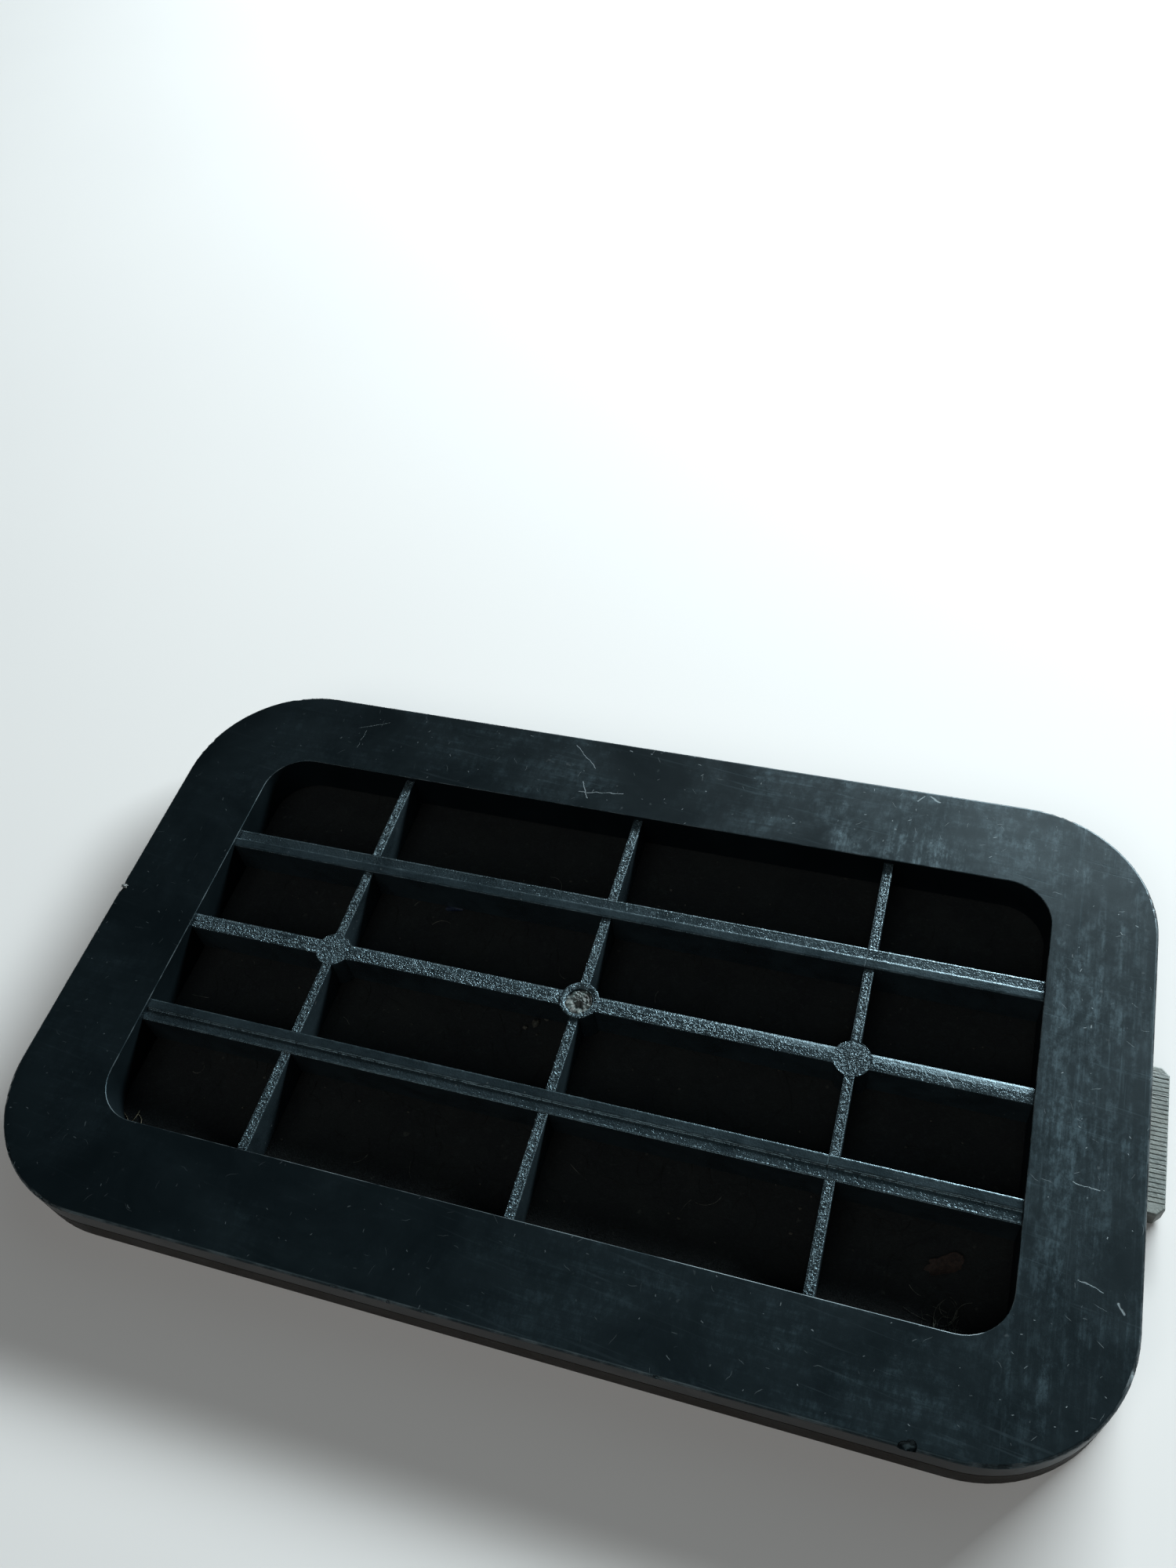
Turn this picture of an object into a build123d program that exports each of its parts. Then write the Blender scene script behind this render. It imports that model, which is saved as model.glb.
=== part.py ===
from build123d import *

import os

# Rounded ventilation grille: a hinged face with a fixed blade grid, on a mounting frame with a
# slide-out filter. Millimetres, +Z out of the wall, origin at the middle of the back face.

# ---- Overall sizes -----------------------------------------------------------------------
overall_length = 450.0        # X
overall_width = 272.0         # Y
overall_height = 26.0         # Z, back face to front face
corner_radius = 56.0
opening_length = 366.0        # free opening inside the face's collar
opening_width = 191.0
opening_radius = 19.0
overcut = 1.0                 # how far a cut runs past the surface that it opens

# ---- Mounting frame (lower layer) --------------------------------------------------------
lower_height = 13.0
base_plate = 2.2
frame_wall = 3.2
back_edge_round = 1.0
duct_margin_x = 3.0           # duct opening beyond the face's opening, each end
duct_margin_y = 0.5           # and each side
duct_radius_margin = 1.0
wall_hole_inset_x = 23.0      # wall screw centres in from the overall sides
wall_hole_inset_y = 26.0
wall_hole_radius = 2.5
wall_boss_radius = 6.0
wall_boss_height = 2.0
gusset_count = 5
gusset_left_inset = 33.0      # first gusset in from the opening's left end
gusset_catch_gap = 70.0       # last gusset to the catch's centre
gusset_thickness = 2.0
gusset_height = 6.8
gusset_foot_gap = 1.0         # gusset to the filter rail's foot
stop_thickness = 2.0
stop_end_inset = 12.0         # end stop shorter than the filter is wide, each end
window_inset = 10.0           # filter window starts this far outside the duct opening

# ---- Face --------------------------------------------------------------------------------
seal_thickness = 0.7
seal_width = 2.6
seal_clearance = 0.3          # between the seal and the closed face
face_plate = 3.2
face_wall = 3.2
collar_wall = 3.2
face_edge_round = 1.3
opening_edge_round = 0.4
stiffener_thickness = 2.0
stiffener_height = 6.0
stiffener_rib_gap = 33.8      # centre to the outer cross ribs' screws
stiffener_centre_gap = 35.0   # centre to the middle rib's screw
stiffener_bar_gap = 20.0      # centre to the middle bar's screw
stiffener_outer_gap = 13.6    # centre to the outer bars' screws

# ---- Hinge (left side, hidden inside the face) -------------------------------------------
hinge_inset = 5.0             # axis to the left side and to the face's underside
hinge_spacing = 120.0         # between the two knuckles
knuckle_radius = 3.4
ear_width = 12.0
lug_width = 8.0
knuckle_gap = 0.4
pin_radius = 1.5
pin_running_clearance = 0.05

# ---- Blade grid --------------------------------------------------------------------------
rib_recess = 2.7              # front face down to the rib tops
lip_recess = 1.9              # front face down to the smooth lips
bar_offset = 46.4             # outer long bars from the centre line
bar_rib_width = 5.2           # rough band of an outer long bar
bar_lip_width = 4.4           # smooth raised band of an outer long bar
middle_bar_width = 7.0
middle_bar_crown = 0.5
cross_rib_width = 4.2
cross_rib_pitch = 113.8
tenon_length = 2.0
slot_gap = 0.1                # side clearance in every halving slot and mortise
cap_radius = 7.8
cap_thickness = 3.5
cup_radius = 8.4
cup_rim_height = 0.9
cup_bore_radius = 5.4
cup_bore_depth = 2.6
plug_height = 2.2
grid_screw_length = 11.0

# ---- Filter ------------------------------------------------------------------------------
filter_side_lap = 6.5         # filter beyond the face's opening, each side
filter_thickness = 3.4
filter_left_overhang = 4.8    # beyond the collar on the hinge side
filter_under_gap = 0.4
filter_over_gap = 0.5
filter_side_gap = 0.5
filter_end_gap = 0.8
support_thickness = 1.2
support_strip = 4.0
support_columns = 6
support_rows = 4
mat_margin = 2.0              # mat beyond the free opening, each side
mat_thickness = 1.8
rail_web = 1.6
rail_collar_gap = 0.9         # rail lip to the face's collar
rail_lip_gap = 0.6            # filter's top to the rail lip
rail_lip_thickness = 1.2
rail_foot_width = 5.9
rail_foot_thickness = 1.4
rail_left_margin = 7.0        # rails beyond the opening's ends
rail_right_margin = 2.0
rail_screw_inset = 33.0       # outer rail screws in from the opening's ends
rail_screw_length = 3.4

# ---- Pull tab ----------------------------------------------------------------------------
tab_length = 61.0
tab_projection = 9.0
tab_gap = 0.3                 # tab to the frame's side when the filter is home
tab_bottom = 1.4
tab_top = 10.0
tab_edge_round = 0.8
tab_end_bevel = 3.0
tongue_margin = 2.5
groove_pitch = 1.9
groove_width = 0.45
groove_depth = 0.3
tab_screw_inset = 12.5        # in from the tab's ends
tab_screw_length = 12.0

# ---- Magnetic catch ----------------------------------------------------------------------
catch_opening_inset = 23.0    # centre in from the opening's right end
catch_edge_inset = 17.0       # centre in from the long sides
magnet_length = 24.0
magnet_width = 8.0
magnet_height = 5.0
magnet_stand_out = 0.2        # above the mounting frame's rim
magnet_wall = 2.0
magnet_grip = 2.8             # depth of the pocket round a magnet
catch_air_gap = 0.3
catch_plate_length = 28.0
catch_plate_width = 12.0
catch_plate_thickness = 1.5
catch_screw_spacing = 18.0
catch_screw_reach = 3.0       # into the seat past the plate
catch_pilot_reach = 4.0

# ---- Screws: shank radius, head radius, head height --------------------------------------
grid_screw = (1.5, 2.8, 1.8)
rail_screw = (1.2, 2.3, 1.3)
tab_screw = (1.0, 1.9, 1.2)
catch_screw = (1.1, 1.9, 0.6)
screw_slot_width = 0.6
screw_slot_run = 3.0          # slot cutter's length in head radii

# ---- Levels and places that follow -------------------------------------------------------
face_top = overall_height
face_bottom = lower_height + seal_thickness + seal_clearance
ceiling = face_top - face_plate
filter_bottom = base_plate + filter_under_gap
filter_top = filter_bottom + filter_thickness
collar_bottom = filter_top + filter_over_gap
rib_top = face_top - rib_recess
lip_top = face_top - lip_recess
halving = (collar_bottom + rib_top) / 2
cap_bottom = rib_top - cap_thickness
cup_rim = rib_top + cup_rim_height
cup_floor = cup_rim - cup_bore_depth
collar_length = opening_length + 2 * collar_wall
collar_width = opening_width + 2 * collar_wall
duct_length = opening_length + 2 * duct_margin_x
duct_width = opening_width + 2 * duct_margin_y
duct_radius = opening_radius + duct_radius_margin
wall_hole_spacing_x = overall_length - 2 * wall_hole_inset_x
wall_hole_spacing_y = overall_width - 2 * wall_hole_inset_y
hinge_x = -overall_length / 2 + hinge_inset
hinge_z = face_bottom + hinge_inset
pin_length = ear_width + 2 * knuckle_gap + 2 * lug_width
long_bar_length = opening_length + 2 * tenon_length
cross_rib_length = opening_width + 2 * tenon_length
outer_bar_width = bar_rib_width + bar_lip_width
rib_places = [-cross_rib_pitch, 0.0, cross_rib_pitch]
bar_places = [-bar_offset, 0.0, bar_offset]
catch_x = opening_length / 2 - catch_opening_inset
catch_y = overall_width / 2 - catch_edge_inset
long_side_stiffeners = (
    -catch_x, -cross_rib_pitch + stiffener_rib_gap, -stiffener_centre_gap,
    stiffener_centre_gap, cross_rib_pitch - stiffener_rib_gap,
)
hinge_side_stiffeners = (-stiffener_bar_gap, stiffener_bar_gap)
catch_side_stiffeners = (
    -bar_offset - stiffener_outer_gap, -stiffener_bar_gap,
    stiffener_bar_gap, bar_offset + stiffener_outer_gap,
)
magnet_top = lower_height + magnet_stand_out
catch_plate_bottom = magnet_top + catch_air_gap
catch_plate_top = catch_plate_bottom + catch_plate_thickness
filter_width = opening_width + 2 * filter_side_lap
filter_left = -collar_length / 2 - filter_left_overhang
tab_back = overall_length / 2 + tab_gap
screw_level = halving
rail_face = filter_width / 2 + filter_side_gap
rail_lip = rail_face - collar_width / 2 - rail_collar_gap
rail_left = -opening_length / 2 - rail_left_margin
rail_right = opening_length / 2 + rail_right_margin
rail_screw_x = opening_length / 2 - rail_screw_inset
tab_screw_spacing = tab_length - 2 * tab_screw_inset
rail_screw_y = rail_face + rail_web + rail_foot_width / 2

os.makedirs("parts", exist_ok=True)


def save(builder, name):
    """Label a finished piece and write it."""
    builder.part.label = name
    export_step(builder.part, f"parts/{name}.step")


def rounded_prism(length, width, radius, low, high, mode=Mode.ADD):
    """A rounded rectangle about the origin, between two levels."""
    with BuildSketch(Plane.XY.offset(low)) as outline:
        RectangleRounded(length, width, radius)
    extrude(outline.sketch, amount=high - low, mode=mode)


def block(x_range, y_range, z_range, mode=Mode.ADD):
    """A box between stated limits."""
    x_mid = (x_range[0] + x_range[1]) / 2
    y_mid = (y_range[0] + y_range[1]) / 2
    with BuildSketch(Plane.XY.offset(z_range[0])) as outline:
        with Locations((x_mid, y_mid)):
            Rectangle(x_range[1] - x_range[0], y_range[1] - y_range[0])
    extrude(outline.sketch, amount=z_range[1] - z_range[0], mode=mode)


def disc(x, radius, low, high, mode=Mode.ADD):
    """A round pad or bore on the centre line at x, between two levels."""
    with BuildSketch(Plane.XY.offset(low)) as outline:
        with Locations((x, 0)):
            Circle(radius)
    extrude(outline.sketch, amount=high - low, mode=mode)


def knuckle(y_mid, width, web_end):
    """A hinge knuckle about the hinge axis, with a web up or down to web_end."""
    with BuildSketch(Plane.XZ.offset(-y_mid)) as outline:
        with Locations((hinge_x, hinge_z)):
            Circle(knuckle_radius)
        with Locations((hinge_x, (hinge_z + web_end) / 2)):
            Rectangle(2 * knuckle_radius, abs(web_end - hinge_z))
    extrude(outline.sketch, amount=width / 2, both=True)


def hinge_bore(y_mid, radius, length, mode=Mode.SUBTRACT):
    """A round bar or bore on the hinge axis."""
    with BuildSketch(Plane.XZ.offset(-y_mid)) as outline:
        with Locations((hinge_x, hinge_z)):
            Circle(radius)
    extrude(outline.sketch, amount=length / 2, both=True, mode=mode)


def screws(places, size, length):
    """Slotted pan-head screws; each place is a plane on the head's seat, facing outwards."""
    shank_radius, head_radius, head_height = size
    for place in places:
        with BuildSketch(place) as head:
            Circle(head_radius)
        extrude(head.sketch, amount=head_height)
        with BuildSketch(place) as shank:
            Circle(shank_radius)
        extrude(shank.sketch, amount=-length)
        with BuildSketch(place.offset(head_height / 2)) as slot:
            Rectangle(screw_slot_run * head_radius, screw_slot_width)
        extrude(slot.sketch, amount=head_height, mode=Mode.SUBTRACT)


def holes(places, radius, length):
    """Round holes inwards from each place."""
    for place in places:
        with BuildSketch(place) as outline:
            Circle(radius)
        extrude(outline.sketch, amount=-length, mode=Mode.SUBTRACT)


# ---- Places of the screws ----------------------------------------------------------------
bar_screw_places = []
rib_screw_places = []
for side in (-1, 1):
    for y in bar_places:
        seat = (side * collar_length / 2, y, screw_level)
        bar_screw_places.append(Plane(origin=seat, x_dir=(0, 1, 0), z_dir=(side, 0, 0)))
    for x in rib_places:
        seat = (x, side * collar_width / 2, screw_level)
        rib_screw_places.append(Plane(origin=seat, x_dir=(1, 0, 0), z_dir=(0, side, 0)))

rail_screw_places = {}
for side in (-1, 1):
    rail_screw_places[side] = [
        Plane(origin=(x, side * rail_screw_y, base_plate + rail_foot_thickness))
        for x in (-rail_screw_x, 0.0, rail_screw_x)
    ]

catch_screw_places = []
for side in (-1, 1):
    for dx in (-catch_screw_spacing / 2, catch_screw_spacing / 2):
        seat = (catch_x + dx, side * catch_y, catch_plate_bottom + catch_screw[2])
        catch_screw_places.append(Plane(origin=seat, x_dir=(1, 0, 0), z_dir=(0, 0, -1)))

tab_head_seat = tab_back + tab_projection - groove_depth - tab_screw[2]
tab_screw_level = (filter_bottom + filter_top) / 2
tab_screw_places = [
    Plane(origin=(tab_head_seat, y, tab_screw_level), x_dir=(0, 1, 0), z_dir=(1, 0, 0))
    for y in (-tab_screw_spacing / 2, tab_screw_spacing / 2)
]

# ---- Front frame: plate, skirt and collar in one moulding --------------------------------
with BuildPart() as front_frame:
    rounded_prism(overall_length, overall_width, corner_radius, face_bottom, face_top)
    fillet(front_frame.edges().group_by(Axis.Z)[-1], face_edge_round)
    rounded_prism(
        overall_length - 2 * face_wall, overall_width - 2 * face_wall,
        corner_radius - face_wall, face_bottom, ceiling, Mode.SUBTRACT,
    )
    rounded_prism(
        collar_length, collar_width, opening_radius + collar_wall, collar_bottom, ceiling
    )

    # stiffeners between the collar and the skirt
    rib_low = ceiling - stiffener_height
    half_stiffener = stiffener_thickness / 2
    for side in (-1, 1):
        far_reach = side * (overall_width / 2 - face_wall / 2)
        near_reach = side * (opening_width / 2 + collar_wall / 2)
        for x in long_side_stiffeners:
            block(
                (x - half_stiffener, x + half_stiffener),
                sorted((near_reach, far_reach)), (rib_low, ceiling),
            )
    for side, rows in ((-1, hinge_side_stiffeners), (1, catch_side_stiffeners)):
        out_reach = side * (overall_length / 2 - face_wall / 2)
        in_reach = side * (opening_length / 2 + collar_wall / 2)
        for y in rows:
            block(
                sorted((in_reach, out_reach)),
                (y - half_stiffener, y + half_stiffener), (rib_low, ceiling),
            )

    # seats for the steel catch plates
    for side in (-1, 1):
        block(
            (catch_x - catch_plate_length / 2, catch_x + catch_plate_length / 2),
            (side * catch_y - catch_plate_width / 2, side * catch_y + catch_plate_width / 2),
            (catch_plate_top, ceiling),
        )

    # the free opening, with a fine round on its front edge
    rounded_prism(
        opening_length, opening_width, opening_radius, collar_bottom, face_top, Mode.SUBTRACT
    )
    rim = front_frame.edges().group_by(Axis.Z)[-1]
    rim = rim.filter_by_position(Axis.X, -collar_length / 2, collar_length / 2)
    rim = rim.filter_by_position(Axis.Y, -collar_width / 2, collar_width / 2)
    fillet(rim, opening_edge_round)

    # hinge side: the lower corner is round about the hinge axis, so the face can swing
    with BuildSketch(Plane.XZ):
        with Locations((hinge_x - hinge_inset, hinge_z - hinge_inset)):
            Rectangle(2 * hinge_inset, 2 * hinge_inset)
        with Locations((hinge_x, hinge_z)):
            Circle(hinge_inset, mode=Mode.SUBTRACT)
    extrude(amount=overall_width / 2, both=True, mode=Mode.SUBTRACT)
    for side in (-1, 1):
        y_mid = side * hinge_spacing / 2
        slot_half = ear_width / 2 + knuckle_gap
        block(
            (-overall_length / 2 - overcut, hinge_x + knuckle_radius + knuckle_gap),
            (y_mid - slot_half, y_mid + slot_half), (collar_bottom, ceiling), Mode.SUBTRACT,
        )
        for end in (-1, 1):
            lug_y = y_mid + end * (slot_half + lug_width / 2)
            knuckle(lug_y, lug_width, ceiling)
        hinge_bore(y_mid, pin_radius, pin_length)

    # mortises for the blade grid, open at the back
    for side in (-1, 1):
        lip_mid = side * (bar_offset - outer_bar_width / 2 + bar_lip_width / 2)
        lip_half = bar_lip_width / 2 + slot_gap
        block(
            (-long_bar_length / 2, long_bar_length / 2),
            (lip_mid - lip_half, lip_mid + lip_half), (collar_bottom, lip_top), Mode.SUBTRACT,
        )
    for y, width in zip(bar_places, (outer_bar_width, middle_bar_width, outer_bar_width)):
        half = width / 2 + slot_gap
        block(
            (-long_bar_length / 2, long_bar_length / 2),
            (y - half, y + half), (collar_bottom, rib_top), Mode.SUBTRACT,
        )
    for x in rib_places:
        half = cross_rib_width / 2 + slot_gap
        block(
            (x - half, x + half),
            (-cross_rib_length / 2, cross_rib_length / 2), (collar_bottom, rib_top),
            Mode.SUBTRACT,
        )
    holes(bar_screw_places + rib_screw_places, grid_screw[0], collar_wall)
    holes(catch_screw_places, catch_screw[0], catch_plate_thickness + catch_pilot_reach)
save(front_frame, "front_frame")


# ---- Blade grid --------------------------------------------------------------------------
def rib_slots(y, width):
    """Halving slots from below, where the cross ribs pass a long bar."""
    half = cross_rib_width / 2 + slot_gap
    for x in rib_places:
        block(
            (x - half, x + half), (y - width / 2 - overcut, y + width / 2 + overcut),
            (collar_bottom, halving), Mode.SUBTRACT,
        )


def outer_long_bar(side):
    """A full-depth bar with a raised smooth lip on the side towards the centre."""
    y_mid = side * bar_offset
    inner = y_mid - side * outer_bar_width / 2
    step = inner + side * bar_lip_width
    outer = inner + side * outer_bar_width
    reach = (-long_bar_length / 2, long_bar_length / 2)
    block(reach, sorted((inner, step)), (collar_bottom, lip_top))
    block(reach, sorted((step, outer)), (collar_bottom, rib_top))
    rib_slots(y_mid, outer_bar_width)
    holes(bar_screw_places, grid_screw[0], grid_screw_length)


with BuildPart() as long_bar_far:
    outer_long_bar(1)
save(long_bar_far, "long_bar_far")

with BuildPart() as long_bar_near:
    outer_long_bar(-1)
save(long_bar_near, "long_bar_near")

with BuildPart() as long_bar_middle:
    half_bar = middle_bar_width / 2
    with BuildSketch(Plane.YZ.offset(-long_bar_length / 2)):
        with BuildLine():
            Polyline(
                (-half_bar, collar_bottom), (half_bar, collar_bottom), (half_bar, rib_top),
                (0, rib_top + middle_bar_crown), (-half_bar, rib_top), close=True,
            )
        make_face()
    extrude(amount=long_bar_length)
    # square the crowned ends down to the mortises' height
    for side in (-1, 1):
        end_range = sorted((side * opening_length / 2, side * (long_bar_length / 2 + overcut)))
        block(end_range, (-half_bar, half_bar), (rib_top, lip_top), Mode.SUBTRACT)
    rib_slots(0.0, middle_bar_width)
    for x, radius in zip(rib_places, (cap_radius, cup_radius, cap_radius)):
        disc(x, radius, cap_bottom, face_top, Mode.SUBTRACT)
    holes(bar_screw_places, grid_screw[0], grid_screw_length)
save(long_bar_middle, "long_bar_middle")


def cross_rib(x, boss_radius):
    """A full-depth cross rib, slotted from the front where the long bars pass."""
    reach = (-cross_rib_length / 2, cross_rib_length / 2)
    half = cross_rib_width / 2
    block((x - half, x + half), reach, (collar_bottom, rib_top))
    for y, width in zip(bar_places, (outer_bar_width, middle_bar_width, outer_bar_width)):
        slot_half = width / 2 + slot_gap
        block(
            (x - half - overcut, x + half + overcut), (y - slot_half, y + slot_half),
            (halving, rib_top), Mode.SUBTRACT,
        )
    disc(x, boss_radius, cap_bottom, rib_top, Mode.SUBTRACT)
    holes(rib_screw_places, grid_screw[0], grid_screw_length)


with BuildPart() as cross_rib_left:
    cross_rib(rib_places[0], cap_radius)
save(cross_rib_left, "cross_rib_left")

with BuildPart() as cross_rib_centre:
    cross_rib(rib_places[1], cup_radius)
save(cross_rib_centre, "cross_rib_centre")

with BuildPart() as cross_rib_right:
    cross_rib(rib_places[2], cap_radius)
save(cross_rib_right, "cross_rib_right")


def crossing_boss(x, radius, top):
    """A round boss over a crossing: a cap on four legs that stand in the grid's corners."""
    disc(x, radius, collar_bottom, top)
    bar_half = middle_bar_width / 2 + slot_gap
    rib_half = cross_rib_width / 2 + slot_gap
    block(
        (x - radius, x + radius), (-bar_half, bar_half),
        (collar_bottom, cap_bottom), Mode.SUBTRACT,
    )
    block(
        (x - rib_half, x + rib_half), (-radius, radius),
        (collar_bottom, cap_bottom), Mode.SUBTRACT,
    )


with BuildPart() as crossing_cap_left:
    crossing_boss(rib_places[0], cap_radius, rib_top)
save(crossing_cap_left, "crossing_cap_left")

with BuildPart() as crossing_cap_right:
    crossing_boss(rib_places[2], cap_radius, rib_top)
save(crossing_cap_right, "crossing_cap_right")

with BuildPart() as crossing_cup:
    crossing_boss(0.0, cup_radius, cup_rim)
    disc(0.0, cup_bore_radius, cup_floor, cup_rim, Mode.SUBTRACT)
save(crossing_cup, "crossing_cup")

with BuildPart() as cup_plug:
    disc(0.0, cup_bore_radius, cup_floor, cup_floor + plug_height)
    chamfer(cup_plug.edges().group_by(Axis.Z)[-1], plug_height / 2)
save(cup_plug, "cup_plug")

with BuildPart() as bar_screws:
    screws(bar_screw_places, grid_screw, grid_screw_length)
save(bar_screws, "bar_screws")

with BuildPart() as rib_screws:
    screws(rib_screw_places, grid_screw, grid_screw_length)
save(rib_screws, "rib_screws")

# ---- Hinge pins and catch plates, carried by the face ------------------------------------
with BuildPart() as hinge_pins:
    for side in (-1, 1):
        hinge_bore(side * hinge_spacing / 2, pin_radius, pin_length, Mode.ADD)
save(hinge_pins, "hinge_pins")

with BuildPart() as catch_plates:
    for side in (-1, 1):
        block(
            (catch_x - catch_plate_length / 2, catch_x + catch_plate_length / 2),
            (side * catch_y - catch_plate_width / 2, side * catch_y + catch_plate_width / 2),
            (catch_plate_bottom, catch_plate_top),
        )
    holes(catch_screw_places, catch_screw[0], catch_plate_thickness)
    for place in catch_screw_places:
        with BuildSketch(place):
            Circle(catch_screw[1])
        extrude(amount=catch_screw[2], mode=Mode.SUBTRACT)
save(catch_plates, "catch_plates")

with BuildPart() as catch_screws:
    screws(catch_screw_places, catch_screw, catch_plate_thickness + catch_screw_reach)
save(catch_screws, "catch_screws")

# ---- Mounting frame ----------------------------------------------------------------------
with BuildPart() as mounting_frame:
    rounded_prism(overall_length, overall_width, corner_radius, 0.0, lower_height)
    fillet(mounting_frame.edges().group_by(Axis.Z)[0], back_edge_round)
    rounded_prism(
        overall_length - 2 * frame_wall, overall_width - 2 * frame_wall,
        corner_radius - frame_wall, base_plate, lower_height, Mode.SUBTRACT,
    )
    rounded_prism(duct_length, duct_width, duct_radius, 0.0, base_plate, Mode.SUBTRACT)

    # bosses and holes for the wall screws
    with BuildSketch(Plane.XY.offset(base_plate)):
        with GridLocations(wall_hole_spacing_x, wall_hole_spacing_y, 2, 2):
            Circle(wall_boss_radius)
    extrude(amount=wall_boss_height)
    with BuildSketch():
        with GridLocations(wall_hole_spacing_x, wall_hole_spacing_y, 2, 2):
            Circle(wall_hole_radius)
    extrude(amount=base_plate + wall_boss_height, mode=Mode.SUBTRACT)

    # gussets outside the filter rails, and the filter's end stop
    gusset_foot = rail_face + rail_web + rail_foot_width + gusset_foot_gap
    gusset_start = -opening_length / 2 + gusset_left_inset
    gusset_pitch = (catch_x - gusset_catch_gap - gusset_start) / (gusset_count - 1)
    for side in (-1, 1):
        gusset_reach = sorted((side * gusset_foot, side * (overall_width - frame_wall) / 2))
        for step in range(gusset_count):
            x = gusset_start + step * gusset_pitch
            block(
                (x - gusset_thickness / 2, x + gusset_thickness / 2),
                gusset_reach, (base_plate, base_plate + gusset_height),
            )
    stop_face = filter_left - filter_end_gap
    stop_half = filter_width / 2 - stop_end_inset
    block(
        (stop_face - stop_thickness, stop_face),
        (-stop_half, stop_half), (base_plate, filter_top),
    )

    # pockets for the magnets
    for side in (-1, 1):
        reach_x = magnet_length / 2 + magnet_wall
        reach_y = magnet_width / 2 + magnet_wall
        magnet_bottom = magnet_top - magnet_height
        block(
            (catch_x - reach_x, catch_x + reach_x),
            (side * catch_y - reach_y, side * catch_y + reach_y),
            (base_plate, magnet_bottom + magnet_grip),
        )
        block(
            (catch_x - magnet_length / 2, catch_x + magnet_length / 2),
            (side * catch_y - magnet_width / 2, side * catch_y + magnet_width / 2),
            (magnet_bottom, magnet_top), Mode.SUBTRACT,
        )

    # hinge ears, and the window that the filter slides through
    for side in (-1, 1):
        knuckle(side * hinge_spacing / 2, ear_width, base_plate)
        hinge_bore(
            side * hinge_spacing / 2, pin_radius + pin_running_clearance,
            ear_width + 2 * overcut,
        )
    window_half = filter_width / 2 + filter_side_gap
    block(
        (duct_length / 2 + window_inset, overall_length / 2 + overcut),
        (-window_half, window_half),
        (base_plate, filter_top + filter_over_gap), Mode.SUBTRACT,
    )
    for side in (-1, 1):
        holes(rail_screw_places[side], rail_screw[0], rail_screw_length)
save(mounting_frame, "mounting_frame")

with BuildPart() as foam_seal:
    seal_inset = (frame_wall - seal_width) / 2
    seal_top = lower_height + seal_thickness
    rounded_prism(
        overall_length - 2 * seal_inset, overall_width - 2 * seal_inset,
        corner_radius - seal_inset, lower_height, seal_top,
    )
    seal_inner = seal_inset + seal_width
    rounded_prism(
        overall_length - 2 * seal_inner, overall_width - 2 * seal_inner,
        corner_radius - seal_inner, lower_height, seal_top, Mode.SUBTRACT,
    )
    for side in (-1, 1):
        y_mid = side * hinge_spacing / 2
        slot_half = ear_width / 2 + knuckle_gap
        block(
            (-overall_length / 2, hinge_x + knuckle_radius),
            (y_mid - slot_half, y_mid + slot_half), (lower_height, seal_top), Mode.SUBTRACT,
        )
save(foam_seal, "foam_seal")

with BuildPart() as catch_magnets:
    for side in (-1, 1):
        block(
            (catch_x - magnet_length / 2, catch_x + magnet_length / 2),
            (side * catch_y - magnet_width / 2, side * catch_y + magnet_width / 2),
            (magnet_top - magnet_height, magnet_top),
        )
save(catch_magnets, "catch_magnets")


# ---- Filter rails ------------------------------------------------------------------------
def filter_rail(side):
    """A rail with a web, a lip over the filter's edge and a screwed foot."""
    web_in = side * rail_face
    web_out = side * (rail_face + rail_web)
    lip_end = side * (rail_face - rail_lip)
    foot_end = side * (rail_face + rail_web + rail_foot_width)
    lip_low = filter_top + rail_lip_gap
    lip_high = lip_low + rail_lip_thickness
    foot_high = base_plate + rail_foot_thickness
    with BuildSketch(Plane.YZ.offset(rail_left)) as section:
        with BuildLine():
            Polyline(
                (web_in, base_plate), (foot_end, base_plate), (foot_end, foot_high),
                (web_out, foot_high), (web_out, lip_high), (lip_end, lip_high),
                (lip_end, lip_low), (web_in, lip_low), close=True,
            )
        make_face()
    extrude(section.sketch, amount=rail_right - rail_left)
    holes(rail_screw_places[side], rail_screw[0], rail_foot_thickness)


with BuildPart() as filter_rail_far:
    filter_rail(1)
save(filter_rail_far, "filter_rail_far")

with BuildPart() as filter_rail_near:
    filter_rail(-1)
save(filter_rail_near, "filter_rail_near")

with BuildPart() as rail_screws:
    screws(rail_screw_places[-1] + rail_screw_places[1], rail_screw, rail_screw_length)
save(rail_screws, "rail_screws")

# ---- Slide-out filter --------------------------------------------------------------------
mat_length = opening_length + 2 * mat_margin
mat_width = opening_width + 2 * mat_margin
mat_radius = opening_radius + mat_margin

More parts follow.
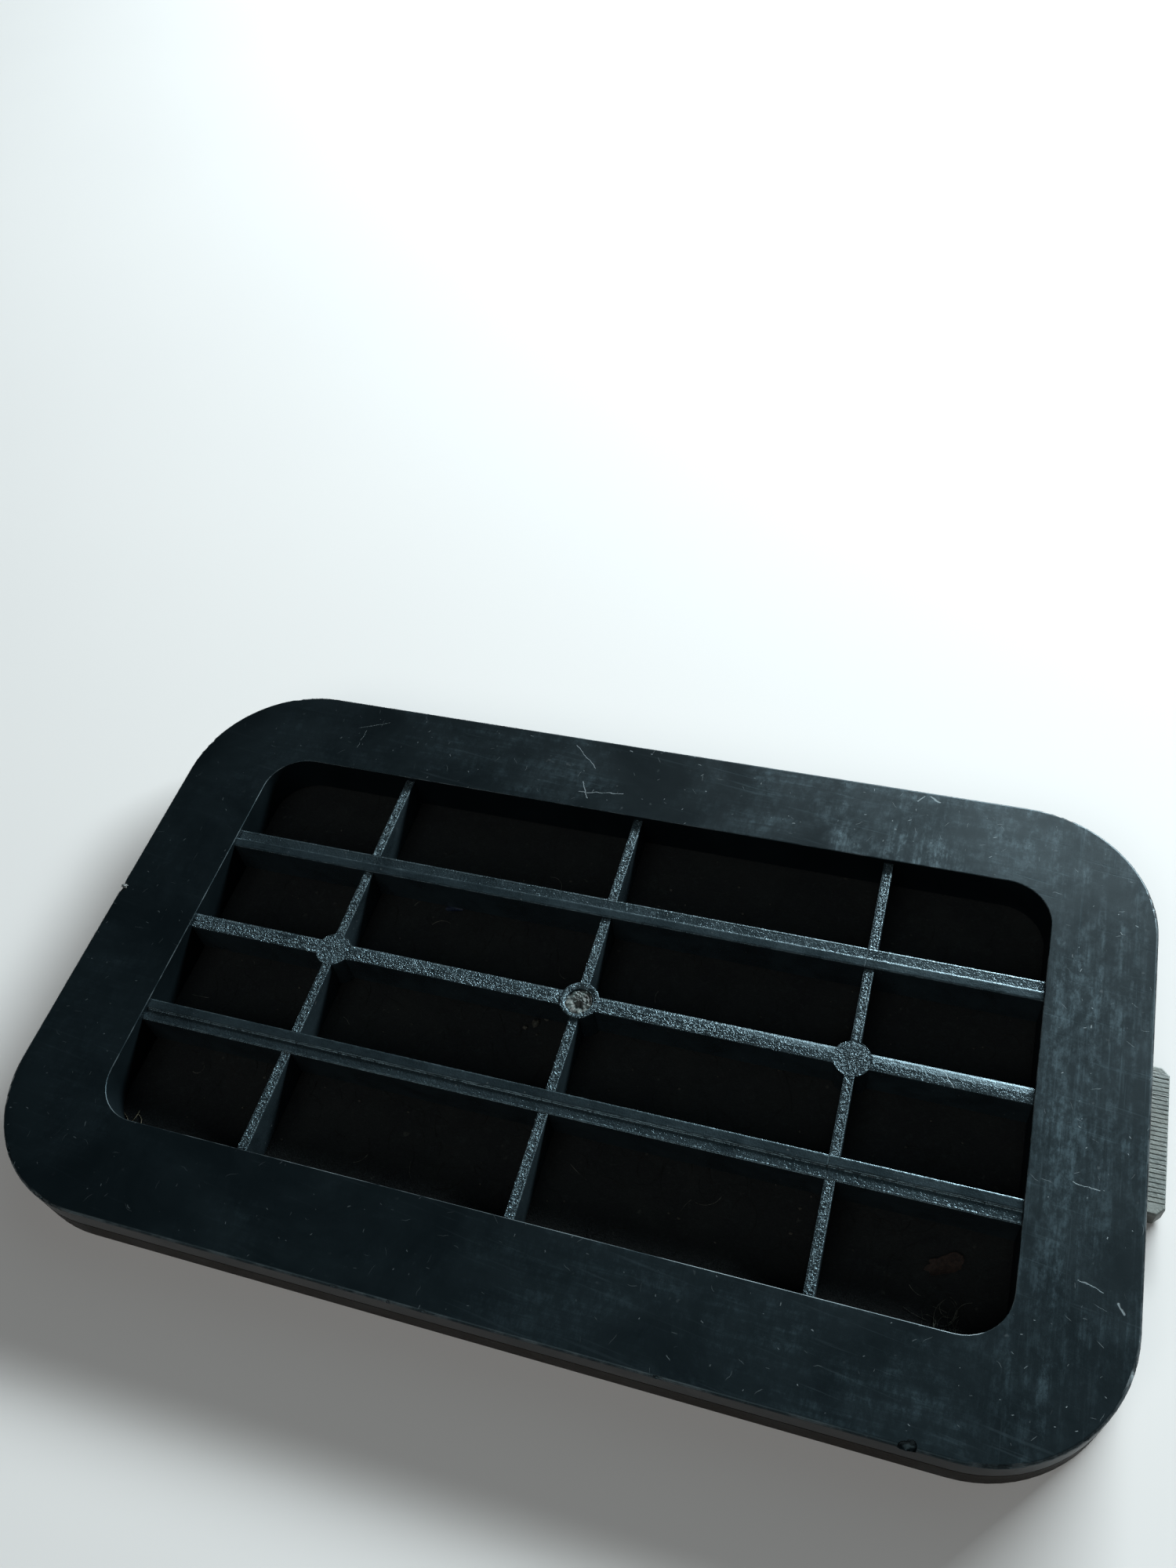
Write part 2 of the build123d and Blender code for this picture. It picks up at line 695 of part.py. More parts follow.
with BuildPart() as filter_frame:
    front_end = overall_length / 2
    with BuildSketch(Plane.XY.offset(filter_bottom)):
        with Locations(((filter_left + front_end) / 2, 0)):
            Rectangle(front_end - filter_left, filter_width)
        RectangleRounded(
            overall_length - 2 * filter_side_gap, overall_width, corner_radius,
            mode=Mode.INTERSECT,
        )
        with Locations(((rail_right + tab_back) / 2, 0)):
            Rectangle(tab_back - rail_right, tab_length - 2 * tongue_margin)
    extrude(amount=filter_thickness)
    rounded_prism(
        mat_length, mat_width, mat_radius,
        filter_bottom + support_thickness, filter_top, Mode.SUBTRACT,
    )
    column_pitch = opening_length / support_columns
    row_pitch = opening_width / support_rows
    with BuildSketch(Plane.XY.offset(filter_bottom)):
        with GridLocations(column_pitch, row_pitch, support_columns, support_rows):
            Rectangle(column_pitch - support_strip, row_pitch - support_strip)
        RectangleRounded(
            opening_length, opening_width, opening_radius, mode=Mode.INTERSECT
        )
    extrude(amount=support_thickness, mode=Mode.SUBTRACT)
    holes(tab_screw_places, tab_screw[0], tab_screw_length)
save(filter_frame, "filter_frame")

with BuildPart() as filter_mat:
    mat_bottom = filter_bottom + support_thickness
    rounded_prism(mat_length, mat_width, mat_radius, mat_bottom, mat_bottom + mat_thickness)
save(filter_mat, "filter_mat")

with BuildPart() as pull_tab:
    block(
        (tab_back, tab_back + tab_projection), (-tab_length / 2, tab_length / 2),
        (tab_bottom, tab_top),
    )
    outer_corners = pull_tab.edges().filter_by(Axis.Z).group_by(Axis.X)[-1]
    chamfer(outer_corners, tab_end_bevel)
    fillet(pull_tab.edges().group_by(Axis.Z)[-1], tab_edge_round)
    groove_count = int((tab_length - 2 * tab_end_bevel) / groove_pitch)
    with BuildSketch(Plane.XY.offset(tab_top)):
        with Locations((tab_back + tab_projection / 2, 0)):
            with GridLocations(0, groove_pitch, 1, groove_count):
                Rectangle(tab_projection, groove_width)
    extrude(amount=-groove_depth, mode=Mode.SUBTRACT)
    holes(tab_screw_places, tab_screw[0], tab_screw_length)
    for place in tab_screw_places:
        with BuildSketch(place):
            Circle(tab_screw[1])
        extrude(amount=tab_projection, mode=Mode.SUBTRACT)
save(pull_tab, "pull_tab")

with BuildPart() as tab_screws:
    screws(tab_screw_places, tab_screw, tab_screw_length)
save(tab_screws, "tab_screws")
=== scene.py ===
"""Finish of the ventilation grille: textured grid bars, scuffed face, dusty filter and its litter.

Everything is in metres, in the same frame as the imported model."""

import math
import random

import bmesh
import bpy
from mathutils import Matrix, Vector, noise


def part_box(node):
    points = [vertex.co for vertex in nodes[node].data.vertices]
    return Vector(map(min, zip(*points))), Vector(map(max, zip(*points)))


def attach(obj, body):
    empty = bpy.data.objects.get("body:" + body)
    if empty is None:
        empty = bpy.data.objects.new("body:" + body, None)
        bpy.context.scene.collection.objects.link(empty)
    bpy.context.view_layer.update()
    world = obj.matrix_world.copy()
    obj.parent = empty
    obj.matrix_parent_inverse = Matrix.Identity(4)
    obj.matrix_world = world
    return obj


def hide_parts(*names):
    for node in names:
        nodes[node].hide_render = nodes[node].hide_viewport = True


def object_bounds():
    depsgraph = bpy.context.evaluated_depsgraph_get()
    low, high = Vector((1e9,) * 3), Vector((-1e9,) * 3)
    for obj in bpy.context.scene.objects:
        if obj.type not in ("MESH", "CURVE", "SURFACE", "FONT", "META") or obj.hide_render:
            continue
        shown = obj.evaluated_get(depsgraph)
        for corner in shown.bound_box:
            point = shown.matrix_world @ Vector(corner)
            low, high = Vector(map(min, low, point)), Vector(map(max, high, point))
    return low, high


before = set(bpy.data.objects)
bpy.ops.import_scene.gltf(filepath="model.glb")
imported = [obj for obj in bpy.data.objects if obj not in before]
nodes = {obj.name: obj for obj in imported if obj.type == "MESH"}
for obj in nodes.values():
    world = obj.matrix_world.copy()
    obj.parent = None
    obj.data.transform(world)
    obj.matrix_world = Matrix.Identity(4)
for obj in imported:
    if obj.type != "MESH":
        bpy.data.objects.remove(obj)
cad_low, cad_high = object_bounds()
mm = 0.001

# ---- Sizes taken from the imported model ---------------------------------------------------
face_low, face_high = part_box("front_frame")
bar_low, bar_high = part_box("long_bar_far")
middle_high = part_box("long_bar_middle")[1]
rib_names = ("cross_rib_left", "cross_rib_centre", "cross_rib_right")
rib_boxes = [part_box(name) for name in rib_names]
cap_names = ("crossing_cap_left", "crossing_cap_right")
cup_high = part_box("crossing_cup")[1]
plug_low, plug_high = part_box("cup_plug")
mat_low, mat_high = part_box("filter_mat")

face_top = face_high.z
grid_bottom = bar_low.z
lip_top = bar_high.z
rib_top = rib_boxes[0][1].z
halving = (grid_bottom + rib_top) / 2
rib_centres = [(low.x + high.x) / 2 for low, high in rib_boxes]
rib_half = (rib_boxes[0][1].x - rib_boxes[0][0].x) / 2
rib_reach = rib_boxes[0][1].y
bar_reach = bar_high.x
middle_half = middle_high.y
cap_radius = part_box(cap_names[0])[1].y
cup_radius = cup_high.y
boss_radii = (cap_radius, cup_radius, cap_radius)
plug_radius = plug_high.y

# ---- Sizes of the surface detail ---------------------------------------------------------
lip_width = 4.4 * mm            # smooth raised band on an outer long bar
slot_gap = 0.1 * mm             # side clearance in the halving slots
cap_thickness = 3.5 * mm
edge_bevel = 0.42 * mm
fine_step = 0.4 * mm            # mesh step along a bar
texture_depth = 0.44 * mm
texture_size = 1.25 * mm
worm_width = 0.2                # half width of a worm, as a noise value
worm_share = 0.72               # share of the texture's height that is worms, not grain
edge_wander = 0.07 * mm
insert_seam = rib_centres[2] - rib_half + 0.25 * mm
opening_near = -95.5 * mm       # near long edge of the opening


# ---- Mesh helpers ------------------------------------------------------------------------
def put(name, data):
    """A new object in the scene that holds a mesh, a light or a camera."""
    made = bpy.data.objects.new(name, data)
    bpy.context.scene.collection.objects.link(made)
    return made


def mesh_of(work, name):
    """The mesh that was worked on, under its name."""
    mesh = bpy.data.meshes.new(name)
    work.to_mesh(mesh)
    work.free()
    return mesh


def applied(holder, tools=()):
    """A holder's mesh with its modifiers applied; the holder and its tools are removed."""
    graph = bpy.context.evaluated_depsgraph_get()
    result = bpy.data.meshes.new_from_object(holder.evaluated_get(graph))
    for item in (holder, *tools):
        bpy.data.objects.remove(item)
    return result


def spread(first, last, count):
    """Evenly spaced values, both ends included."""
    return [first + (last - first) * i / (count - 1) for i in range(count)]


def mesh_from(name, points, faces):
    """A mesh with its faces turned outwards."""
    mesh = bpy.data.meshes.new(name)
    mesh.from_pydata([tuple(p) for p in points], [], faces)
    work = bmesh.new()
    work.from_mesh(mesh)
    bmesh.ops.recalc_face_normals(work, faces=work.faces)
    work.to_mesh(mesh)
    work.free()
    mesh.validate()
    return mesh


def soften(mesh, angle=32.0):
    """Smooth shading, kept sharp over the given angle in degrees."""
    mesh.shade_smooth()
    mesh.set_sharp_from_angle(angle=math.radians(angle))


def add_piece(name, mesh, body, material, replaced=()):
    """Put a finished mesh in the scene, on its body and in place of its plain nodes."""
    piece = put(name, mesh)
    mesh.materials.clear()
    mesh.materials.append(material)
    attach(piece, body)
    if replaced:
        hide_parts(*replaced)
    return piece


def tube_points(path, radius_at, sides, start_index):
    """Rings of points round a path, and the faces that join and close them."""
    points = []
    faces = []
    count = len(path)
    for i, here in enumerate(path):
        ahead = path[min(i + 1, count - 1)] - path[max(i - 1, 0)]
        across = ahead.cross(Vector((0, 0, 1)))
        if across.length < 1e-9:
            across = Vector((1, 0, 0))
        across.normalize()
        up = across.cross(ahead).normalized()
        for k in range(sides):
            turn = 2 * math.pi * k / sides
            offset = across * math.cos(turn) + up * math.sin(turn)
            points.append(here + offset * radius_at(i / (count - 1)))
    for i in range(count - 1):
        for k in range(sides):
            a = start_index + i * sides + k
            b = start_index + i * sides + (k + 1) % sides
            faces.append((a, b, b + sides, a + sides))
    faces.append(tuple(start_index + k for k in range(sides)))
    last = start_index + (count - 1) * sides
    faces.append(tuple(last + k for k in range(sides)))
    return points, faces


def cut_away(mesh, cutters):
    """The mesh with closed cutter meshes taken out of it."""
    holder = put("cut_holder", mesh)
    tools = []
    for index, cutter in enumerate(cutters):
        tool = put(f"cutter_{index}", cutter)
        step = holder.modifiers.new(f"cut_{index}", "BOOLEAN")
        step.operation = "DIFFERENCE"
        step.solver = "EXACT"
        step.object = tool
        tools.append(tool)
    return applied(holder, tools)


def flat_lit(mesh):
    """The mesh with its level faces shaded flat and its other normals weighted by area."""
    level_slope = 0.9999
    work = bmesh.new()
    work.from_mesh(mesh)
    for edge in work.edges:
        level = [abs(face.normal.z) > level_slope for face in edge.link_faces]
        if any(level) and not all(level):
            edge.smooth = False
    work.to_mesh(mesh)
    work.free()
    holder = put("normal_holder", mesh)
    holder.modifiers.new("weighted_normals", "WEIGHTED_NORMAL").keep_sharp = True
    return applied(holder)


def box_mesh(low, high):
    """A plain closed box, used as a cutter."""
    points = [(x, y, z) for x in (low[0], high[0]) for y in (low[1], high[1])
              for z in (low[2], high[2])]
    faces = [(0, 1, 3, 2), (4, 6, 7, 5), (0, 4, 5, 1), (2, 3, 7, 6), (0, 2, 6, 4), (1, 5, 7, 3)]
    return mesh_from("cutter", points, faces)


def drum_mesh(x, y, radius, low, high, sides=96):
    """A plain closed cylinder, used as a cutter."""
    points = []
    for z in (low, high):
        for k in range(sides):
            turn = 2 * math.pi * k / sides
            points.append((x + radius * math.cos(turn), y + radius * math.sin(turn), z))
    faces = [(k, (k + 1) % sides, sides + (k + 1) % sides, sides + k) for k in range(sides)]
    faces.append(tuple(range(sides)))
    faces.append(tuple(range(sides, 2 * sides)))
    return mesh_from("cutter", points, faces)


# ---- Surface heights ---------------------------------------------------------------------
def worms(x, y, size=texture_size):
    """Worm-like ridges of a spark-eroded mould face, from 0 to 1."""
    place = Vector((x / size, y / size, 0.4))
    ridge = max(0.0, 1.0 - abs(noise.noise(place)) / worm_width)
    grain = 0.5 + 0.5 * noise.noise(place * 2.3 + Vector((9.1, 3.7, 0)))
    return worm_share * ridge + (1 - worm_share) * grain


def slow(x, y, size, seed=0.0):
    """Slow variation from 0 to 1."""
    value = noise.noise(Vector((x / size, y / size, seed)))
    return min(1.0, max(0.0, 0.5 + 0.9 * value))


def bead(u, seed, size=2.2 * mm):
    """Small wander of an edge, in metres."""
    return edge_wander * noise.noise(Vector((u / size, seed, 2.6)))


# ---- Grid bars ---------------------------------------------------------------------------
def stations(reach, slots):
    """Places along a bar with a flag for the stretches that are slotted."""
    rows = []
    edges = [-reach]
    for low, high in slots:
        edges += [low, high]
    edges.append(reach)
    for index in range(len(edges) - 1):
        start, end = edges[index], edges[index + 1]
        slotted = index % 2 == 1
        count = max(2, int(round((end - start) / fine_step)) + 1)
        for u in spread(start, end, count):
            rows.append((u, slotted))
    return rows


def swept_bar(name, rows, section, along_x):
    """A closed bar: the section's points at every station, joined and capped."""
    points = []
    faces = []
    rings = [section(u, slotted) for u, slotted in rows]
    size = len(rings[0])
    for (u, slotted), ring in zip(rows, rings):
        for v, z in ring:
            points.append((u, v, z) if along_x else (v, u, z))
    for i in range(len(rings) - 1):
        for k in range(size):
            a = i * size + k
            b = i * size + (k + 1) % size
            faces.append((a, b, b + size, a + size))
    faces.append(tuple(range(size)))
    faces.append(tuple((len(rings) - 1) * size + k for k in range(size)))
    return mesh_from(name, points, faces)


def rounded_shoulder(v, z, inward, seed, u):
    """Four points that round the top corner of a bar whose side stands at v."""
    wander = bead(u, seed)
    steps = ((0.0, 1.0, 1.0), (0.25, 0.42, 1.0), (0.8, 0.17, 1.0), (1.7, 0.0, 0.5))
    return [(v + inward * edge_bevel * inset, z - edge_bevel * drop + wander * share)
            for inset, drop, share in steps]


def side_levels(top, bottom):
    """Levels down the side of a bar, from its top to its bottom."""
    return [top - (top - bottom) * share for share in (0.08, 0.2, 0.45, 0.75, 1.0)]


def curl_marks(count, reach, seed):
    """Places, radii and headings of the curled tool marks on a bar."""
    pick = random.Random(seed)
    marks = []
    for _ in range(count):
        marks.append((pick.uniform(-reach, reach), pick.uniform(0.25, 0.8),
                      pick.uniform(0.7, 1.5) * mm, pick.uniform(0, math.pi)))
    return marks


def curl_height(u, v_share, v_width, marks):
    """Height of the nearest curled mark: a thin crescent, from 0 to 1."""
    best = 0.0
    for place, share, radius, heading in marks:
        du = u - place
        dv = (v_share - share) * v_width
        if abs(du) > 2.2 * radius:
            continue
        distance = math.hypot(du, dv)
        turn = math.atan2(dv, du) - heading
        arc = max(0.0, math.cos(turn))
        line = max(0.0, 1.0 - abs(distance - radius) / (0.28 * mm))
        best = max(best, arc * line)
    return best


def outer_bar_section(side, marks):
    """Section of an outer long bar: a smooth lip towards the centre, a step, a rough band."""
    inner = side * abs(bar_low.y)
    step = inner + side * lip_width
    outer = side * abs(bar_high.y)
    band = abs(outer - step)

    def section(u, slotted):
        bottom = halving if slotted else grid_bottom
        ring = [(inner, z) for z in reversed(side_levels(lip_top, bottom))]
        ring += rounded_shoulder(inner, lip_top, side, 1.0 + side, u)
        for share in spread(0.2, 0.93, 6):
            v = inner + side * share * lip_width
            wave = 0.03 * mm * noise.noise(Vector((u / (3 * mm), v / (1.2 * mm), side)))
            ring.append((v, lip_top + wave))
        ring.append((step - side * 0.05 * mm, lip_top - 0.14 * mm + bead(u, 4.0)))
        ring.append((step + side * 0.06 * mm, rib_top + 0.12 * mm + bead(u, 5.0)))
        for share in spread(0.07, 0.84, 10):
            v = step + side * share * band
            amount = 0.05 + 0.22 * slow(u, v, 14 * mm, 3.0) ** 2
            height = amount * (worms(u, v) - 1.0) * texture_depth - 0.08 * mm
            if side > 0:
                streak = noise.noise(Vector((u / (0.5 * mm), 7.0, 0.5)))
                patch = slow(u, 0.0, 9 * mm, 8.0)
                height += 0.24 * mm * max(0.0, streak) * patch * (1 - share) ** 1.5
            else:
                height += 0.2 * mm * curl_height(u, share, band, marks)
            ring.append((v, rib_top + height))
        ring += list(reversed(rounded_shoulder(outer, rib_top, -side, 3.0 + side, u)))
        ring += [(outer, z) for z in side_levels(rib_top, bottom)]
        return ring

    return section


def middle_bar_section(u, slotted):
    """Section of the middle bar: crowned, with a rough ridge line along the crown."""
    crown = middle_high.z - rib_top
    bottom = halving if slotted else grid_bottom
    ring = [(-middle_half, z) for z in reversed(side_levels(rib_top, bottom))]
    ring += rounded_shoulder(-middle_half, rib_top, 1, 6.0, u)
    for share in spread(-0.76, 0.76, 17):
        v = share * middle_half
        calm = min(1.0, max(0.0, (u - 10 * mm) / (100 * mm)))
        ridge = math.exp(-((share + 0.05) / 0.22) ** 2) * (1 - 0.7 * calm)
        hatch = noise.noise(Vector(((u + 1.2 * v) / (0.55 * mm), (v - 0.5 * u) / (1.6 * mm), 4.0)))
        slope_near = (0.6 if share < 0 else 0.25 * slow(u, v, 30 * mm, 1.0)) * (1 - 0.6 * calm)
        relief = ridge * (worms(u, v) - 0.75) + slope_near * (0.7 * hatch + 0.5 * worms(u, v) - 0.6)
        blotch = min(0.0, noise.noise(Vector((u / (4 * mm), v / (2 * mm), 6.0))) + 0.1)
        height = (relief + 0.5 * calm * blotch) * texture_depth
        ring.append((v, rib_top + crown * (1 - abs(share)) + height))
    ring += list(reversed(rounded_shoulder(middle_half, rib_top, -1, 7.0, u)))
    ring += [(middle_half, z) for z in side_levels(rib_top, bottom)]
    return ring


def cross_rib_section(centre):
    """Section of a cross rib: rough all over its top."""

    def section(u, slotted):
        top = halving if slotted else rib_top
        ring = [(centre - rib_half, z) for z in reversed(side_levels(top, grid_bottom))]
        ring += rounded_shoulder(centre - rib_half, top, 1, 8.0 + centre, u)
        for share in spread(-0.62, 0.62, 9):
            v = centre + share * rib_half
            height = 0.0 if slotted else (worms(v, u) - 0.85) * texture_depth * 1.25
            ring.append((v, top + height))
        ring += list(reversed(rounded_shoulder(centre + rib_half, top, -1, 9.0 + centre, u)))
        ring += [(centre + rib_half, z) for z in side_levels(top, grid_bottom)]
        return ring

    return section


def build_grid(material, lip_material, middle_material):
    """The three long bars and three cross ribs, halved into each other."""
    bar_slots = [(x - rib_half - slot_gap, x + rib_half + slot_gap) for x in rib_centres]
    for name, side in (("long_bar_far", 1), ("long_bar_near", -1)):
        marks = curl_marks(34, bar_reach, 5)
        rows = stations(bar_reach, bar_slots)
        mesh = swept_bar("textured_" + name, rows, outer_bar_section(side, marks), True)
        soften(mesh, 40)
        add_piece("textured_" + name, mesh, "face", lip_material, [name])

    bosses = [
        drum_mesh(x, 0, radius, rib_top - cap_thickness, face_top)
        for x, radius in zip(rib_centres, boss_radii)
    ]
    mesh = swept_bar("middle_bar", stations(bar_reach, bar_slots), middle_bar_section, True)
    mesh = cut_away(mesh, bosses)
    soften(mesh, 40)
    add_piece("textured_long_bar_middle", mesh, "face", middle_material,
              ["long_bar_middle"])

    outer_half = (bar_high.y - bar_low.y) / 2 + slot_gap
    outer_mid = (bar_high.y + bar_low.y) / 2
    rib_slots = [
        (-outer_mid - outer_half, -outer_mid + outer_half),
        (-middle_half - slot_gap, middle_half + slot_gap),
        (outer_mid - outer_half, outer_mid + outer_half),
    ]
    for name, centre, radius in zip(rib_names, rib_centres, boss_radii):
        rows = stations(rib_reach, rib_slots)
        mesh = swept_bar(name, rows, cross_rib_section(centre), False)
        boss = drum_mesh(centre, 0, radius, rib_top - cap_thickness, face_top)
        mesh = cut_away(mesh, [boss])
        soften(mesh, 40)
        add_piece("textured_" + name, mesh, "face", material, [name])


def turned_mesh(name, x, profile, sides, height_at):
    """A closed turned piece: profile is (radius, level) from the top centre to the bottom centre."""
    points = [Vector((x, 0, profile[0][1] + height_at(x, 0.0, 0)))]
    inner = profile[1:-1]
    for index, (radius, level) in enumerate(inner, start=1):
        for k in range(sides):
            turn = 2 * math.pi * k / sides
            px = x + radius * math.cos(turn)
            py = radius * math.sin(turn)
            points.append(Vector((px, py, level + height_at(px, py, index))))
    points.append(Vector((x, 0, profile[-1][1])))
    faces = [(0, 1 + k, 1 + (k + 1) % sides) for k in range(sides)]
    for i in range(len(inner) - 1):
        first = 1 + i * sides
        for k in range(sides):
            a, b = first + k, first + (k + 1) % sides
            faces.append((a, b, b + sides, a + sides))
    first = 1 + (len(inner) - 1) * sides
    last = len(points) - 1
    faces += [(first + (k + 1) % sides, first + k, last) for k in range(sides)]
    return mesh_from(name, points, faces)


def leg_cutters(x, radius):
    """The two channels under a boss, where the middle bar and the rib pass."""
    below = rib_top - cap_thickness
    low = grid_bottom - 1 * mm
    wide = radius + 1 * mm
    bar_half = middle_half + slot_gap
    half = rib_half + slot_gap
    return [
        box_mesh((x - wide, -bar_half, low), (x + wide, bar_half, below)),
        box_mesh((x - half, -wide, low), (x + half, wide, below)),
    ]


def build_bosses(material):
    """Two flat rough bosses and the cup with its raised rim."""
    for name, x in zip(cap_names, (rib_centres[0], rib_centres[2])):
        profile = [(0.0, rib_top)]
        flat_rings = 17
        for i in range(1, flat_rings + 1):
            profile.append((cap_radius * 0.95 * i / flat_rings, rib_top))
        profile += [(cap_radius * 0.985, rib_top - 0.1 * mm), (cap_radius, rib_top - edge_bevel),
                    (cap_radius, rib_top - 2 * mm), (cap_radius, grid_bottom),
                    (0.0, grid_bottom)]

        def height_at(px, py, index, rings=flat_rings):
            if index > rings:
                return 0.0
            return (worms(px, py, 0.85 * mm) - 0.8) * texture_depth * 0.8

        mesh = turned_mesh(name, x, profile, 112, height_at)
        mesh = cut_away(mesh, leg_cutters(x, cap_radius))
        soften(mesh, 45)
        add_piece("textured_" + name, mesh, "face", material, [name])

    rim = cup_high.z
    floor_level = plug_low.z
    profile = [(0.0, floor_level)]
    profile += [(plug_radius * share, floor_level) for share in (0.3, 0.6, 0.9)]
    profile += [(plug_radius + 0.02 * mm, floor_level), (plug_radius + 0.05 * mm, rim - 0.9 * mm)]
    for share, drop in ((0.12, 0.5), (0.25, 0.62), (0.38, 0.3), (0.55, 0.05), (0.72, 0.0),
                        (0.88, 0.06), (0.97, 0.2)):
        radius = plug_radius + (cup_radius - plug_radius) * share
        profile.append((radius, rim - drop * mm))
    profile += [(cup_radius, rim - 0.5 * mm), (cup_radius, rib_top - 2 * mm),
                (cup_radius, grid_bottom), (0.0, grid_bottom)]
    bottom_index = len(profile) - 2

    def rim_height(px, py, index):
        if index < 4 or index >= bottom_index - 1:
            return 0.0
        ragged = noise.noise(Vector((px / (1.4 * mm), py / (1.4 * mm), 5.0)))
        return 0.1 * mm * ragged - 0.05 * mm

    mesh = turned_mesh("crossing_cup", 0.0, profile, 112, rim_height)
    mesh = cut_away(mesh, leg_cutters(0.0, cup_radius))
    soften(mesh, 45)
    add_piece("turned_crossing_cup", mesh, "face", material, ["crossing_cup"])


def build_plug(material):
    """The torn stub in the cup: swirled, and smeared over the rim on its near left side."""
    height = plug_high.z - plug_low.z
    smear_way = Vector((-0.45, -0.9)).normalized()
    profile = [(0.0, plug_low.z + 0.8 * height)]
    rings = 26
    for i in range(1, rings + 1):
        share = i / rings
        dome = 0.82 - 0.3 * share ** 2
        profile.append((plug_radius * 0.97 * share, plug_low.z + dome * height))
    profile += [(plug_radius * 0.98, plug_low.z + 0.2 * height),
                (plug_radius * 0.98, plug_low.z), (0.0, plug_low.z)]

    def torn(px, py, index):
        if index > rings:
            return 0.0
        place = Vector((px / (1.5 * mm), py / (1.5 * mm), 1.5))
        ragged = noise.noise(place) + 0.5 * noise.noise(place * 2.6)
        spike = max(0.0, noise.noise(place * 1.3 + Vector((4, 4, 4))) - 0.1)
        radius = math.hypot(px, py)
        turn = math.atan2(py, px)
        swirl = 0.5 + 0.5 * math.sin(radius / (0.26 * mm) + 1.4 * turn + 2.0 * ragged)
        lit_side = max(0.0, math.cos(turn - 0.3))
        pit = math.exp(-((px + 0.2 * mm) ** 2 + (py + 2.2 * mm) ** 2) / (1.3 * mm) ** 2)
        return height * (0.18 * ragged + 0.45 * spike + 0.22 * swirl * lit_side - 0.65 * pit)

    mesh = turned_mesh("cup_plug", 0.0, profile, 108, torn)
    smear = []
    for vertex in mesh.vertices:
        flat = Vector((vertex.co.x, vertex.co.y))
        share = flat.length / plug_radius
        toward = max(0.0, flat.normalized().dot(smear_way)) if share > 0 else 0.0
        if vertex.co.z > plug_low.z + 0.3 * height and share > 0.55:
            push = toward ** 1.5 * (share - 0.55) / 0.45
            wander = 1.0 + 0.5 * noise.noise(Vector((flat.x / mm, flat.y / mm, 9.0)))
            smear.append((vertex, push * wander))
    for vertex, push in smear:
        outward = Vector((vertex.co.x, vertex.co.y)).normalized() * 2.3 * mm * push
        vertex.co.x += outward.x
        vertex.co.y += outward.y
        vertex.co.z += (0.75 * push - 0.55 * push ** 3) * height
    soften(mesh, 50)
    add_piece("torn_cup_plug", mesh, "face", material, ["cup_plug"])


# ---- Face frame with knocked edges -------------------------------------------------------
def chip_mesh(centre, size, seed, heading):
    """An irregular closed lump, used to knock a chip out of an edge."""
    work = bmesh.new()
    bmesh.ops.create_icosphere(work, subdivisions=3, radius=1.0)
    turn = Matrix.Rotation(heading, 3, "Z")
    for vertex in work.verts:
        swell = 1.0 + 0.35 * noise.noise(vertex.co * 1.6 + Vector((seed, 0, 0)))
        swell += 0.15 * noise.noise(vertex.co * 4.0 + Vector((0, seed, 0)))
        local = Vector(vertex.co[i] * size[i] * swell for i in range(3))
        vertex.co = Vector(centre) + turn @ local
    return mesh_of(work, "chip")


def knocked_places():
    """Centre, half sizes and heading of each chip, in millimetres and radians."""
    near = face_low.y / mm
    left = face_low.x / mm
    top = face_top / mm
    return [
        ((154, near + 0.4, top - 0.6), (3.4, 2.3, 2.6), 0.5),
        ((-55, near, top), (1.9, 1.0, 1.1), 0.0),
        ((-33, near, top - 0.1), (1.2, 0.9, 1.3), 0.0),
        ((-19, near, top), (2.6, 0.9, 1.0), 0.0),
        ((69, near, top), (2.2, 1.1, 1.0), 0.0),
        ((left + 0.6, 8, top - 0.3), (2.6, 3.2, 1.5), 0.4),
        ((-208, -119, top), (1.0, 1.2, 0.8), 0.0),
    ]


def build_face(material):
    """A copy of the face with the chips and the notch of a knocked-about grille."""
    mesh = nodes["front_frame"].data.copy()
    work = bmesh.new()
    work.from_mesh(mesh)
    bmesh.ops.remove_doubles(work, verts=work.verts, dist=1e-6)
    work.to_mesh(mesh)
    work.free()
    chips = []
    for seed, (place, size, heading) in enumerate(knocked_places(), start=1):
        chips.append(chip_mesh([v * mm for v in place], [v * mm for v in size], seed, heading))
    mesh = cut_away(mesh, chips)
    soften(mesh, 28)
    mesh = flat_lit(mesh)
    add_piece("knocked_front_frame", mesh, "face", material, ["front_frame"])


def build_burr(material):
    """The torn flap of plastic that stands on the left edge."""
    centre = Vector((face_low.x + 1.8 * mm, 8.5 * mm, face_top - 0.55 * mm))
    work = bmesh.new()
    bmesh.ops.create_icosphere(work, subdivisions=4, radius=1.0)
    for vertex in work.verts:
        ragged = 1.0 + 0.45 * noise.noise(vertex.co * 2.2) + 0.2 * noise.noise(vertex.co * 6.0)
        stretch = Vector((2.1 * mm, 1.0 * mm, 0.55 * mm))
        vertex.co = centre + Vector(vertex.co[i] * stretch[i] * ragged for i in range(3))
    mesh = mesh_of(work, "edge_burr")
    soften(mesh, 50)
    add_piece("edge_burr", mesh, "face", material)


# ---- Filter mat and what lies on it ------------------------------------------------------
def mat_surface(x, y):
    """Height of the matted fibre over its mean level."""
    broad = noise.noise(Vector((x / (26 * mm), y / (18 * mm), 0.2)))
    lumps = noise.noise(Vector((x / (6 * mm), y / (5 * mm), 3.1)))
    felt = noise.noise(Vector((x / (2.6 * mm), y / (2.2 * mm), 8.4)))
    return 0.22 * mm * broad + 0.14 * mm * lumps + 0.09 * mm * felt


